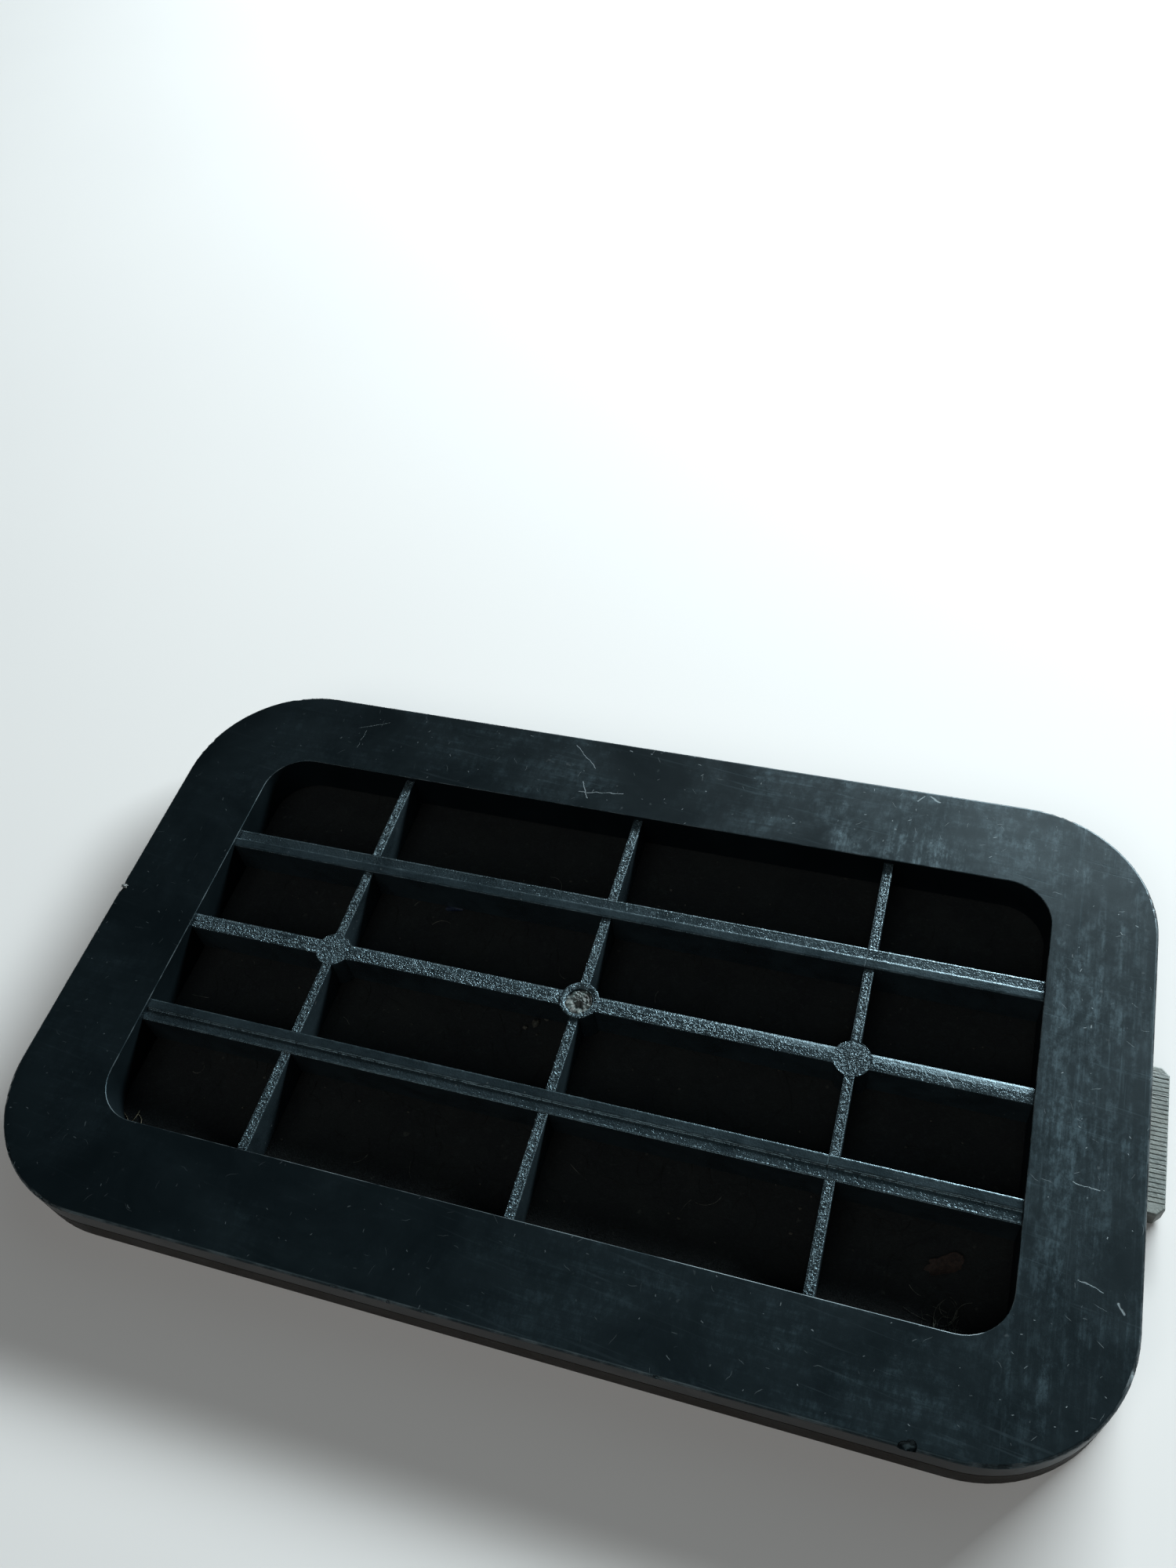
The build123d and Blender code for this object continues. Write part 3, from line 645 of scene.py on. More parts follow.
def build_mat(material):
    """The fibre mat: a closed pad with a felted, uneven surface on both sides."""
    half_x, half_y = mat_high.x, mat_high.y
    corner = 21 * mm
    columns, rows = 232, 124
    top_level = mat_high.z - 0.35 * mm
    bottom_level = mat_low.z + 0.3 * mm
    points = []
    for sign, level in ((1, top_level), (-1, bottom_level)):
        for y in spread(-half_y, half_y, rows):
            inside = max(0.0, abs(y) - (half_y - corner))
            reach = half_x - corner + math.sqrt(max(0.0, corner ** 2 - inside ** 2))
            for share in spread(-1, 1, columns):
                x = share * reach
                rise = mat_surface(x, y if sign > 0 else y + 0.5)
                points.append((x, y, level + sign * abs(rise) * 0.9))
    faces = []
    sheet = columns * rows
    for j in range(rows - 1):
        for i in range(columns - 1):
            a = j * columns + i
            faces.append((a, a + 1, a + 1 + columns, a + columns))
            b = a + sheet
            faces.append((b, b + columns, b + 1 + columns, b + 1))
    border = list(range(columns))
    border += [j * columns + columns - 1 for j in range(1, rows)]
    border += [(rows - 1) * columns + i for i in range(columns - 2, -1, -1)]
    border += [j * columns for j in range(rows - 2, 0, -1)]
    for k, a in enumerate(border):
        b = border[(k + 1) % len(border)]
        faces.append((a, a + sheet, b + sheet, b))
    mesh = mesh_from("felted_filter_mat", points, faces)
    soften(mesh, 60)
    piece = add_piece("felted_filter_mat", mesh, "filter", material,
                      ["filter_mat"])
    return top_level


def strand(start, heading, length, bend, lift, level):
    """A loose fibre's path on the mat."""
    path = []
    turn = heading
    here = Vector((start[0], start[1], 0))
    steps = 9
    for i in range(steps):
        t = i / (steps - 1)
        rise = level + mat_surface(here.x, here.y) + lift * math.sin(math.pi * t)
        path.append(Vector((here.x, here.y, rise + 0.12 * mm)))
        turn += bend / steps
        here = here + Vector((math.cos(turn), math.sin(turn), 0)) * length / (steps - 1)
    return path


def build_strands(name, count, seed, length, thickness, material, level, centre=None,
                  scatter=0.0):
    """Many loose fibres as one piece, all over the mat or scattered about a centre."""
    pick = random.Random(seed)
    points = []
    faces = []
    half_x, half_y = mat_high.x - 14 * mm, mat_high.y - 14 * mm
    for _ in range(count):
        if centre:
            start = (centre[0] + pick.gauss(0, scatter), centre[1] + pick.gauss(0, scatter))
        else:
            start = (pick.uniform(-half_x, half_x), pick.uniform(-half_y, half_y))
        size = pick.uniform(0.4, 1.0) * length
        radius = pick.uniform(0.5, 1.0) * thickness / 2
        path = strand(start, pick.uniform(0, 2 * math.pi), size, pick.uniform(-3.2, 3.2),
                      pick.uniform(0.0, 0.5) * mm, level)
        more, joined = tube_points(path, lambda t, r=radius: r * (1 - 0.6 * t), 4, len(points))
        points += more
        faces += joined
    mesh = mesh_from(name, points, faces)
    soften(mesh, 80)
    add_piece(name, mesh, "filter", material)


def build_leaf(name, centre, size, heading, seed, material, level):
    """A dry curled leaf scrap: a thin closed sheet with ragged edges."""
    rings, sides = 9, 40
    upper = []
    for i in range(rings + 1):
        for k in range(sides):
            turn = 2 * math.pi * k / sides
            ragged = 1 + 0.35 * noise.noise(Vector((math.cos(turn) * 1.8, math.sin(turn) * 1.8, seed)))
            ragged += 0.14 * noise.noise(Vector((math.cos(turn) * 6, math.sin(turn) * 6, seed + 3)))
            share = max(i, 0.02) / rings
            px = size[0] * share * ragged * math.cos(turn)
            py = size[1] * share * ragged * math.sin(turn)
            curl = 0.9 * mm * (py / size[1]) ** 2 + 0.5 * mm * share ** 2 * math.sin(3 * turn + seed)
            vein = 0.12 * mm * abs(math.sin(px / size[0] * 9))
            upper.append(Vector((px, py, curl * 0.55 + vein + 0.35 * mm)))
    turn_about = Matrix.Rotation(heading, 3, "Z")
    thickness = 0.16 * mm
    points = []
    for shift in (0.0, -thickness):
        for p in upper:
            q = turn_about @ p
            points.append((centre[0] + q.x, centre[1] + q.y, level + 0.3 * mm + q.z + shift))
    count = len(upper)
    faces = []
    for i in range(rings):
        for k in range(sides):
            a, b = i * sides + k, i * sides + (k + 1) % sides
            faces.append((a, b, b + sides, a + sides))
            faces.append((a + count, a + sides + count, b + sides + count, b + count))
    faces.append(tuple(range(sides)))
    faces.append(tuple(count + k for k in range(sides)))
    for k in range(sides):
        a, b = rings * sides + k, rings * sides + (k + 1) % sides
        faces.append((a, b, b + count, a + count))
    mesh = mesh_from(name, points, faces)
    soften(mesh, 60)
    add_piece(name, mesh, "filter", material)


def build_crumbs(name, places, seed, material, level):
    """Small lumps of dirt as one piece."""
    pick = random.Random(seed)
    work = bmesh.new()
    for x, y, size in places:
        made = bmesh.ops.create_icosphere(work, subdivisions=2, radius=1.0)
        shape = Vector((pick.uniform(0.7, 1.4), pick.uniform(0.6, 1.2), pick.uniform(0.4, 0.8)))
        centre = Vector((x, y, level + mat_surface(x, y) + 0.35 * size))
        for vertex in made["verts"]:
            swell = 1 + 0.5 * noise.noise(vertex.co * 1.9 + Vector((x * 900, y * 900, 0)))
            vertex.co = centre + Vector(vertex.co[i] * shape[i] * swell * size for i in range(3))
    mesh = mesh_of(work, name)
    soften(mesh, 50)
    add_piece(name, mesh, "filter", material)


# ---- Shader helpers ----------------------------------------------------------------------
class Graph:
    """A node tree with short ways to add and join its nodes."""

    def __init__(self, tree):
        self.tree = tree

    def give(self, socket, value):
        """Join another node's output to an input, or set the input's own value."""
        if isinstance(value, bpy.types.NodeSocket):
            self.tree.links.new(value, socket)
        else:
            socket.default_value = value

    def add(self, kind, inputs=None, **settings):
        """A node with its settings and inputs; an input is a value or another socket."""
        made = self.tree.nodes.new(kind)
        for name, value in settings.items():
            setattr(made, name, value)
        for key, value in (inputs or {}).items():
            self.give(made.inputs[key], value)
        return made

    def use(self, group, inputs, output="Mask"):
        """Place a node group with its own values; gives one output, or all of them for None."""
        made = self.add("ShaderNodeGroup", node_tree=group)
        for key, value in inputs.items():
            self.give(made.inputs[key], value)
        return made.outputs[output] if output else made.outputs

    def maths(self, operation, a, b=0.5, clamp=False):
        return self.add("ShaderNodeMath", {0: a, 1: b}, operation=operation,
                        use_clamp=clamp).outputs[0]

    def plus(self, a, b):
        return self.maths("ADD", a, b)

    def minus(self, a, b):
        return self.maths("SUBTRACT", a, b)

    def times(self, a, b, clamp=False):
        return self.maths("MULTIPLY", a, b, clamp)

    def most(self, a, b):
        return self.maths("MAXIMUM", a, b)

    def far_from(self, a, b=0.0):
        """How far one value is from another, either way."""
        return self.maths("ABSOLUTE", self.minus(a, b))

    def total(self, base, *parts):
        """A base value plus each part times its weight."""
        for part, weight in parts:
            base = self.plus(base, self.times(part, weight))
        return base

    def vector(self, operation, a, b=(0, 0, 0), output=0):
        return self.add("ShaderNodeVectorMath", {0: a, 1: b}, operation=operation).outputs[output]

    def scaled(self, vector, scale):
        """A vector times a single number."""
        inputs = {0: vector, "Scale": scale}
        return self.add("ShaderNodeVectorMath", inputs, operation="SCALE").outputs[0]

    def step(self, value, low, high, to_low=0.0, to_high=1.0):
        """Smooth change from to_low to to_high as value goes from low to high."""
        inputs = {"Value": value, "From Min": low, "From Max": high, "To Min": to_low,
                  "To Max": to_high}
        return self.add("ShaderNodeMapRange", inputs, interpolation_type="SMOOTHSTEP").outputs[0]

    def patches(self, cloud, share, below, above):
        """The parts of a cloud that cover about this share of it, with soft edges."""
        limit = self.minus(1.0, share)
        return self.step(cloud, self.minus(limit, below), self.plus(limit, above))

    def noise(self, place, scale, detail=4.0, rough=0.55, distort=0.0, output="Fac"):
        inputs = {"Vector": place, "Scale": scale, "Detail": detail, "Roughness": rough,
                  "Distortion": distort}
        return self.add("ShaderNodeTexNoise", inputs).outputs[output]

    def wander(self, place, scale):
        """A small vector that changes smoothly from place to place."""
        return self.vector("SUBTRACT", self.noise(place, scale, 2.0, 0.5, output="Color"),
                           (0.5, 0.5, 0.5))

    def mix(self, factor, a, b):
        """Colour a changed to b by the factor; a colour is (red, green, blue) or a socket."""
        made = self.add("ShaderNodeMix", data_type="RGBA")
        for key, value in {"Factor": factor, "A": a, "B": b}.items():
            socket = next(s for s in made.inputs
                          if s.name == key and (key == "Factor" or s.type == "RGBA"))
            self.give(socket, (*value, 1.0) if isinstance(value, tuple) else value)
        return next(s for s in made.outputs if s.type == "RGBA")

    def layers(self, colour, *over):
        """A colour with more colours laid over it; each is (mask, strength, colour)."""
        for mask, strength, laid in over:
            colour = self.mix(self.times(mask, strength), colour, laid)
        return colour

    def place(self):
        """Position on the piece itself, so that marks ride with it."""
        return self.add("ShaderNodeTexCoord").outputs["Object"]

    def place_xyz(self):
        """The same position as three numbers."""
        return self.add("ShaderNodeSeparateXYZ", {0: self.place()}).outputs

    def facing_up(self):
        """How far the piece's surface faces up, from -1 to 1."""
        normal = self.add("ShaderNodeTexCoord").outputs["Normal"]
        return self.add("ShaderNodeSeparateXYZ", {0: normal}).outputs["Z"]


def new_group(name, inputs, outputs):
    """An empty node group with its sockets; returns its graph, its inputs and its output node."""
    tree = bpy.data.node_groups.new(name, "ShaderNodeTree")
    for socket, value in inputs.items():
        kind = "NodeSocketVector" if isinstance(value, tuple) else "NodeSocketFloat"
        tree.interface.new_socket(socket, in_out="INPUT", socket_type=kind).default_value = value
    for socket in outputs:
        tree.interface.new_socket(socket, in_out="OUTPUT", socket_type="NodeSocketFloat")
    graph = Graph(tree)
    entry = graph.add("NodeGroupInput")
    leave = graph.add("NodeGroupOutput")
    return graph, entry.outputs, leave


def close_group(graph, leave, **results):
    """Join a group's results to its outputs."""
    for name, value in results.items():
        graph.give(leave.inputs[name], value)
    return graph.tree


def make_dust_group():
    """Dust that lies in soft patches with specks in it."""
    graph, given, leave = new_group(
        "settled_dust", {"Patch Scale": 30.0, "Coverage": 0.5, "Speck Scale": 900.0},
        ["Mask", "Specks"])
    place = graph.place()
    cloud = graph.noise(place, given["Patch Scale"], 7.0, 0.62, 0.6)
    patches = graph.patches(cloud, given["Coverage"], 0.22, 0.22)
    fine = graph.noise(place, given["Speck Scale"], 3.0, 0.7)
    grain = graph.step(fine, 0.3, 0.75, 0.45, 1.0)
    rare = graph.noise(place, graph.times(given["Speck Scale"], 0.45), 2.0, 0.5)
    return close_group(graph, leave, Mask=graph.times(patches, grain),
                       Specks=graph.step(rare, 0.71, 0.78))


def make_scuff_group():
    """Fine rubbed lines, all along one heading, that come and go in patches."""
    graph, given, leave = new_group(
        "rubbed_lines", {"Heading": (0, 0, 0), "Fineness": 500.0, "Amount": 0.5}, ["Mask"])
    place = graph.place()
    turned = graph.add("ShaderNodeMapping", {"Vector": place, "Rotation": given["Heading"]})
    drawn = graph.vector("MULTIPLY", turned.outputs[0], (0.035, 1.0, 1.0))
    thin = graph.step(graph.noise(drawn, given["Fineness"], 2.0, 0.6, 0.3), 0.6, 0.72)
    cloud = graph.noise(graph.vector("ADD", place, (0.3, 0.7, 0.1)), 22.0, 5.0, 0.6)
    patches = graph.patches(cloud, given["Amount"], 0.15, 0.2)
    return close_group(graph, leave, Mask=graph.times(thin, patches))


def make_scratch_group():
    """One scratch from start to end, a little ragged."""
    graph, given, leave = new_group(
        "single_scratch", {"Start": (0, 0, 0), "End": (0, 0, 0), "Width": 0.0004}, ["Mask"])
    place = graph.place()
    here = graph.vector("ADD", place, graph.scaled(graph.wander(place, 260.0), 0.0022))
    run = graph.vector("SUBTRACT", given["End"], given["Start"])
    away = graph.vector("SUBTRACT", here, given["Start"])
    along = graph.maths("DIVIDE", graph.vector("DOT_PRODUCT", away, run, "Value"),
                        graph.vector("DOT_PRODUCT", run, run, "Value"), clamp=True)
    gap = graph.vector("SUBTRACT", away, graph.scaled(run, along))
    distance = graph.vector("LENGTH", graph.vector("MULTIPLY", gap, (1, 1, 0.2)), output="Value")
    mask = graph.step(distance, graph.times(given["Width"], 0.3), given["Width"], 1.0, 0.0)
    return close_group(graph, leave, Mask=mask)


def make_loose_scratch_group():
    """Short fine scratches that lie every way, one to a cell, in only some of the cells."""
    graph, given, leave = new_group(
        "loose_scratches", {"Cells": 60.0, "Length": 0.004, "Width": 0.0001, "Share": 0.5},
        ["Mask"])
    place = graph.place()
    shift = graph.vector("MULTIPLY", graph.wander(place, 130.0), (0.005, 0.005, 0))
    here = graph.vector("ADD", graph.vector("MULTIPLY", place, (1, 1, 0)), shift)
    cells = graph.add("ShaderNodeTexVoronoi", {"Vector": here, "Scale": given["Cells"]},
                      voronoi_dimensions="2D")
    chance = graph.add("ShaderNodeSeparateColor", {0: cells.outputs["Color"]}).outputs
    away = graph.vector("SUBTRACT", here, cells.outputs["Position"])
    turned = graph.add("ShaderNodeVectorRotate",
                       {"Vector": away, "Angle": graph.times(chance["Red"], 2 * math.pi)},
                       rotation_type="Z_AXIS")
    apart = graph.add("ShaderNodeSeparateXYZ", {0: turned.outputs[0]}).outputs
    reach = graph.times(given["Length"], graph.total(0.12, (chance["Green"], 0.75)))
    along = graph.step(graph.far_from(apart["X"]), graph.times(reach, 0.4), reach, 1.0, 0.0)
    across = graph.step(graph.far_from(apart["Y"]), graph.times(given["Width"], 0.3),
                        given["Width"], 1.0, 0.0)
    shown = graph.patches(chance["Blue"], given["Share"], 0.0, 0.25)
    return close_group(graph, leave, Mask=graph.times(graph.times(along, across), shown))


def make_film_group():
    """A wiped film of dust: clouds broken up by streaks that run one way, and by fine mottle."""
    graph, given, leave = new_group(
        "wiped_film", {"Stretch": (1, 0.06, 1), "Cloud Scale": 24.0, "Coverage": 0.5}, ["Mask"])
    place = graph.place()
    drawn = graph.vector("MULTIPLY", place, given["Stretch"])
    streaks = graph.step(graph.noise(drawn, 330.0, 6.0, 0.72, 0.3), 0.42, 0.64)
    cloud = graph.noise(place, given["Cloud Scale"], 9.0, 0.66, 0.25)
    cloud = graph.patches(cloud, given["Coverage"], 0.14, 0.16)
    worn = graph.noise(graph.vector("MULTIPLY", place, (1, 0.55, 1)), 230.0, 8.0, 0.8, 0.15)
    mottle = graph.step(worn, 0.42, 0.64, 0.12, 1.0)
    broken = graph.total(0.25, (streaks, 0.75))
    return close_group(graph, leave, Mask=graph.times(graph.times(cloud, mottle), broken))


def make_worm_group():
    """Worm-like ridges of a spark-eroded mould face."""
    graph, given, leave = new_group("eroded_worms", {"Scale": 900.0}, ["Height"])
    place = graph.place()
    wave = graph.noise(place, given["Scale"], 1.0, 0.5, 0.4)
    ridge = graph.step(graph.far_from(wave, 0.5), 0.0, 0.1, 1.0, 0.0)
    fine = graph.noise(place, graph.times(given["Scale"], 2.4), 2.0, 0.6)
    return close_group(graph, leave, Height=graph.total(ridge, (fine, 0.35)))


def make_patch_group():
    """A soft-edged patch with a ragged outline, such as haze or a rubbed spot."""
    graph, given, leave = new_group(
        "ragged_patch", {"Centre": (0, 0, 0), "Stretch": (20, 20, 0), "Raggedness": 0.6}, ["Mask"])
    place = graph.place()
    away = graph.vector("MULTIPLY", graph.vector("SUBTRACT", place, given["Centre"]),
                        given["Stretch"])
    distance = graph.vector("LENGTH", away, output="Value")
    cloud = graph.noise(place, 75.0, 6.0, 0.65, 0.4)
    shift = graph.times(graph.minus(cloud, 0.5), given["Raggedness"])
    edge = graph.total(distance, (shift, 3.0))
    return close_group(graph, leave, Mask=graph.step(edge, 0.35, 1.15, 1.0, 0.0))


def make_edge_group():
    """Rounded edges that have been rubbed pale, broken up along their length; on the face the same
    mask also paints edge highlights.
    """
    graph, given, leave = new_group("rubbed_and_lit_edge", {"Break Up": 120.0}, ["Mask"])
    steep = graph.far_from(graph.facing_up())
    band = graph.times(graph.step(steep, 0.12, 0.4), graph.step(steep, 0.9, 0.985, 1.0, 0.0))
    cloud = graph.noise(graph.place(), given["Break Up"], 5.0, 0.65)
    return close_group(graph, leave, Mask=graph.times(band, graph.step(cloud, 0.42, 0.62)))


def make_grain_group():
    """Moulded grain: a fine height and a slower tone variation."""
    graph, given, leave = new_group(
        "moulded_grain", {"Grain Scale": 1500.0, "Tone Scale": 60.0}, ["Height", "Tone"])
    place = graph.place()
    fine = graph.noise(place, given["Grain Scale"], 3.0, 0.6)
    cells = graph.add("ShaderNodeTexVoronoi",
                      {"Vector": place, "Scale": graph.times(given["Grain Scale"], 0.6)})
    height = graph.total(graph.times(fine, 0.6), (cells.outputs["Distance"], 0.4))
    tone = graph.noise(place, given["Tone Scale"], 5.0, 0.6, 0.5)
    return close_group(graph, leave, Height=height, Tone=graph.step(tone, 0.3, 0.72))


dust_group = make_dust_group()
scuff_group = make_scuff_group()
scratch_group = make_scratch_group()
patch_group = make_patch_group()
edge_wear_and_highlight_group = make_edge_group()
grain_group = make_grain_group()
loose_group = make_loose_scratch_group()
film_group = make_film_group()
worm_group = make_worm_group()


def dust_on(graph, patch_scale, coverage, speck_scale, output=None):
    """The settled dust of a material, as its mask and its specks."""
    return graph.use(dust_group, {"Patch Scale": patch_scale, "Coverage": coverage,
                                  "Speck Scale": speck_scale}, output)


def rubbed_on(graph, heading, fineness, amount):
    """Rubbed lines at a heading in radians, turned about Z."""
    return graph.use(scuff_group, {"Heading": (0, 0, heading), "Fineness": fineness,
                                   "Amount": amount})


def new_material(name):
    """A material with a bare surface shader; returns it, its graph and the shader."""
    material = bpy.data.materials.new(name)
    material.use_nodes = True
    material.node_tree.nodes.clear()
    graph = Graph(material.node_tree)
    shader = graph.add("ShaderNodeBsdfPrincipled")
    graph.add("ShaderNodeOutputMaterial", {"Surface": shader.outputs[0]})
    return material, graph, shader


def finish(graph, shader, colour, rough, relief=None, strength=0.5, depth=0.0001):
    """Join a material's colour, roughness and relief to its shader; depth is in metres."""
    graph.give(shader.inputs["Base Color"], colour)
    graph.give(shader.inputs["Roughness"], rough)
    if relief is not None:
        raised = graph.add("ShaderNodeBump", {"Strength": strength, "Distance": depth,
                                              "Height": relief})
        graph.give(shader.inputs["Normal"], raised.outputs[0])


# ---- Materials ---------------------------------------------------------------------------
cool_sheen = (0.55, 0.86, 1.0, 1)

# single scratches on the face: start, end and width in millimetres
FACE_SCRATCHES = [
    ((-40, 131), (-27, 119), 0.17), ((-31, 110), (-26, 101), 0.26), ((-31, 104), (-10, 107), 0.2),
    ((127, 133), (131, 131), 0.5), ((121, 130), (124, 133), 0.4), ((-151, 120), (-136, 126), 0.08),
    ((199, -32), (209, -33), 0.2), ((203, -67), (212, -69), 0.2), ((217, -72), (219, -75), 0.5),
    ((-146, 119), (-146.5, 108), 0.09),
]


def scratches_on_face(graph):
    """All the single scratches of the face as one mask."""
    masks = []
    for start, end, width in FACE_SCRATCHES:
        masks.append(graph.use(scratch_group, {
            "Start": (start[0] * mm, start[1] * mm, face_top),
            "End": (end[0] * mm, end[1] * mm, face_top), "Width": width * mm}))
    whole = masks[0]
    for mask in masks[1:]:
        whole = graph.most(whole, mask)
    return whole


def face_plastic():
    """Dark blue-black satin plastic, hazed and scuffed by handling, with painted sheen towards the far
    right and a painted highlight along the opening's near rim.
    """
    material, graph, shader = new_material("scuffed_face_plastic")
    clean = (0.0011, 0.0021, 0.0027)
    worn = (0.0021, 0.0037, 0.0046)
    # dust film colour: dust, tinted bluish as painted sheen
    dust_and_sheen = (0.029, 0.048, 0.058)
    cloudy = (0.076, 0.108, 0.124)
    pale = (0.26, 0.31, 0.33)
    place = graph.place_xyz()
    grain = graph.use(grain_group, {"Tone Scale": 22.0}, None)
    specks = dust_on(graph, 40.0, 0.5, 420.0, "Specks")
    haze = graph.use(patch_group, {"Centre": (0.142, 0.114, face_top), "Stretch": (17, 30, 0),
                                   "Raggedness": 0.8})
    side_film = graph.use(film_group, {"Stretch": (1, 0.045, 1), "Cloud Scale": 17.0,
                                       "Coverage": 0.5})
    long_film = graph.use(film_group, {"Stretch": (0.07, 1, 1), "Cloud Scale": 23.0,
                                       "Coverage": 0.46})
    along = rubbed_on(graph, 0.12, 620.0, 0.52)
    across = rubbed_on(graph, 1.57, 560.0, 0.6)
    short = graph.use(loose_group, {"Cells": 95.0, "Length": 0.0032, "Width": 0.00011,
                                    "Share": 0.5})
    nicks = graph.use(loose_group, {"Cells": 150.0, "Length": 0.0011, "Width": 0.0002,
                                    "Share": 0.3})
    scratches = scratches_on_face(graph)
    edge = graph.use(edge_wear_and_highlight_group, {"Break Up": 90.0})
    rim_highlight_breakup = graph.use(edge_wear_and_highlight_group, {"Break Up": 16.0})
    # painted highlight: a pale crescent at the near-left corner of the opening
    corner = graph.use(patch_group, {"Centre": (-0.177, -0.087, face_top), "Stretch": (55, 55, 0),
                                     "Raggedness": 0.1})

    # handling marks and the dust film are on the top only; their growth towards the far right is
    # painted sheen
    top = graph.step(graph.facing_up(), 0.6, 0.9)
    right = graph.step(place["X"], 0.165, 0.195)
    toward = graph.total(place["X"], (place["Y"], 0.75))
    painted_sheen_ramp = graph.times(graph.step(toward, -0.16, 0.24, 0.10, 1.0), top)
    film = graph.add("ShaderNodeMix", {"Factor": right, 2: long_film, 3: side_film}).outputs[0]
    film = graph.times(film, painted_sheen_ramp)
    rubbed = graph.times(graph.most(along, graph.times(across, right)), painted_sheen_ramp)
    marks = graph.most(graph.times(short, 0.3), graph.times(nicks, 0.6))
    marks = graph.times(marks, graph.total(painted_sheen_ramp, (top, 0.12)))
    haze = graph.times(graph.times(haze, top), graph.total(0.06, (side_film, 2.0)), clamp=True)
    # painted highlight: a pale line along the opening's near rim, stronger to the right, joined with
    # the corner's crescent
    rim = graph.step(graph.far_from(place["Y"], opening_near), 2 * mm, 3 * mm, 1.0, 0.0)
    rim = graph.times(rim, graph.step(place["X"], -0.02, 0.13, 0.25, 1.0))
    rim = graph.times(rim_highlight_breakup, graph.most(rim, corner))

    colour = graph.mix(film, graph.mix(grain["Tone"], clean, worn), dust_and_sheen)
    # edge is rubbed wear and painted edge highlight together; rim is painted highlight
    colour = graph.layers(
        colour, (haze, 1.0, cloudy), (rubbed, 0.22, cloudy),
        (graph.times(specks, painted_sheen_ramp), 0.12, pale), (marks, 1.0, pale),
        (graph.times(scratches, top), 0.55, pale), (edge, 0.16, pale), (rim, 0.8, pale))
    rough = graph.total(0.36, (film, 0.22), (grain["Tone"], 0.08), (rubbed, -0.08))
    relief = graph.total(graph.times(grain["Height"], 0.4), (rubbed, -0.5), (scratches, -1.5),
                         (marks, -1.0))
    finish(graph, shader, colour, rough, relief, 0.35, 0.00008)
    shader.inputs["Specular Tint"].default_value = cool_sheen
    shader.inputs["Specular IOR Level"].default_value = 0.29
    return material


def grid_plastic(name, smooth_inside=None, fade_right=False):
    """The bars' plastic: worm texture on top, its ridges painted pale as glint, weaker outside a
    smooth lip or towards the right.
    """
    material, graph, shader = new_material(name)
    place = graph.place_xyz()
    grain = graph.use(grain_group, {"Grain Scale": 2300.0, "Tone Scale": 95.0}, None)
    dust = dust_on(graph, 45.0, 0.55, 1600.0)
    edge = graph.use(edge_wear_and_highlight_group, {"Break Up": 210.0})
    worm = graph.use(worm_group, {"Scale": 850.0}, "Height")
    streaks = rubbed_on(graph, 0.0, 900.0, 0.6)
    scratch_level = rib_top + 0.2 * mm
    scratch = graph.use(scratch_group, {"Start": (0.1455, 0.0068, scratch_level),
                                        "End": (0.1535, -0.0036, scratch_level),
                                        "Width": 0.00028})
    top = graph.step(graph.facing_up(), 0.35, 0.8)
    rough_zone = top
    if smooth_inside is not None:
        zone = graph.step(graph.far_from(place["Y"]), smooth_inside - 0.1 * mm,
                          smooth_inside + 0.25 * mm, 0.0, 0.1)
        rough_zone = graph.times(top, zone)
    if fade_right:
        patch = graph.noise(graph.place(), 70.0, 3.0, 0.6)
        fade = graph.step(place["X"], 0.0, 0.12, 1.0, 0.25)
        fade = graph.times(fade, graph.step(patch, 0.3, 0.6, 0.45, 1.0))
        far_slope = graph.step(place["Y"], 0.3 * mm, 1.1 * mm, 1.0, 0.35)
        rough_zone = graph.times(rough_zone, graph.times(fade, far_slope))
    seam = graph.far_from(place["X"], insert_seam)
    seam = graph.times(graph.step(seam, 0.16 * mm, 0.36 * mm, 1.0, 0.0), top)
    # the worm ridges both raise the bump and are painted pale bluish as painted glint
    worm_relief_and_glint = graph.times(worm, rough_zone)

    colour = graph.layers(
        graph.mix(grain["Tone"], (0.0030, 0.0050, 0.0062), (0.0056, 0.0090, 0.0108)),
        (dust["Mask"], 0.45, (0.018, 0.027, 0.032)), (worm_relief_and_glint, 0.2, (0.11, 0.15, 0.17)),
        (edge, 0.14, (0.22, 0.28, 0.30)), (scratch, 0.6, (0.28, 0.33, 0.35)),
        (dust["Specks"], 0.22, (0.2, 0.22, 0.22)), (seam, 0.85, (0.001, 0.0012, 0.0014)))
    rough = graph.total(0.23, (dust["Mask"], 0.14), (streaks, 0.1), (seam, 0.4))
    if fade_right:
        rough = graph.plus(rough, graph.step(place["X"], 0.05, 0.15, 0.0, 0.12))
    relief = graph.total(graph.times(grain["Height"], 0.5), (worm_relief_and_glint, 2.4), (scratch, -1.5),
                         (seam, -2.0))
    finish(graph, shader, colour, rough, relief, 0.9, 0.00017)
    shader.inputs["Specular Tint"].default_value = cool_sheen
    shader.inputs["Specular IOR Level"].default_value = 0.75
    return material


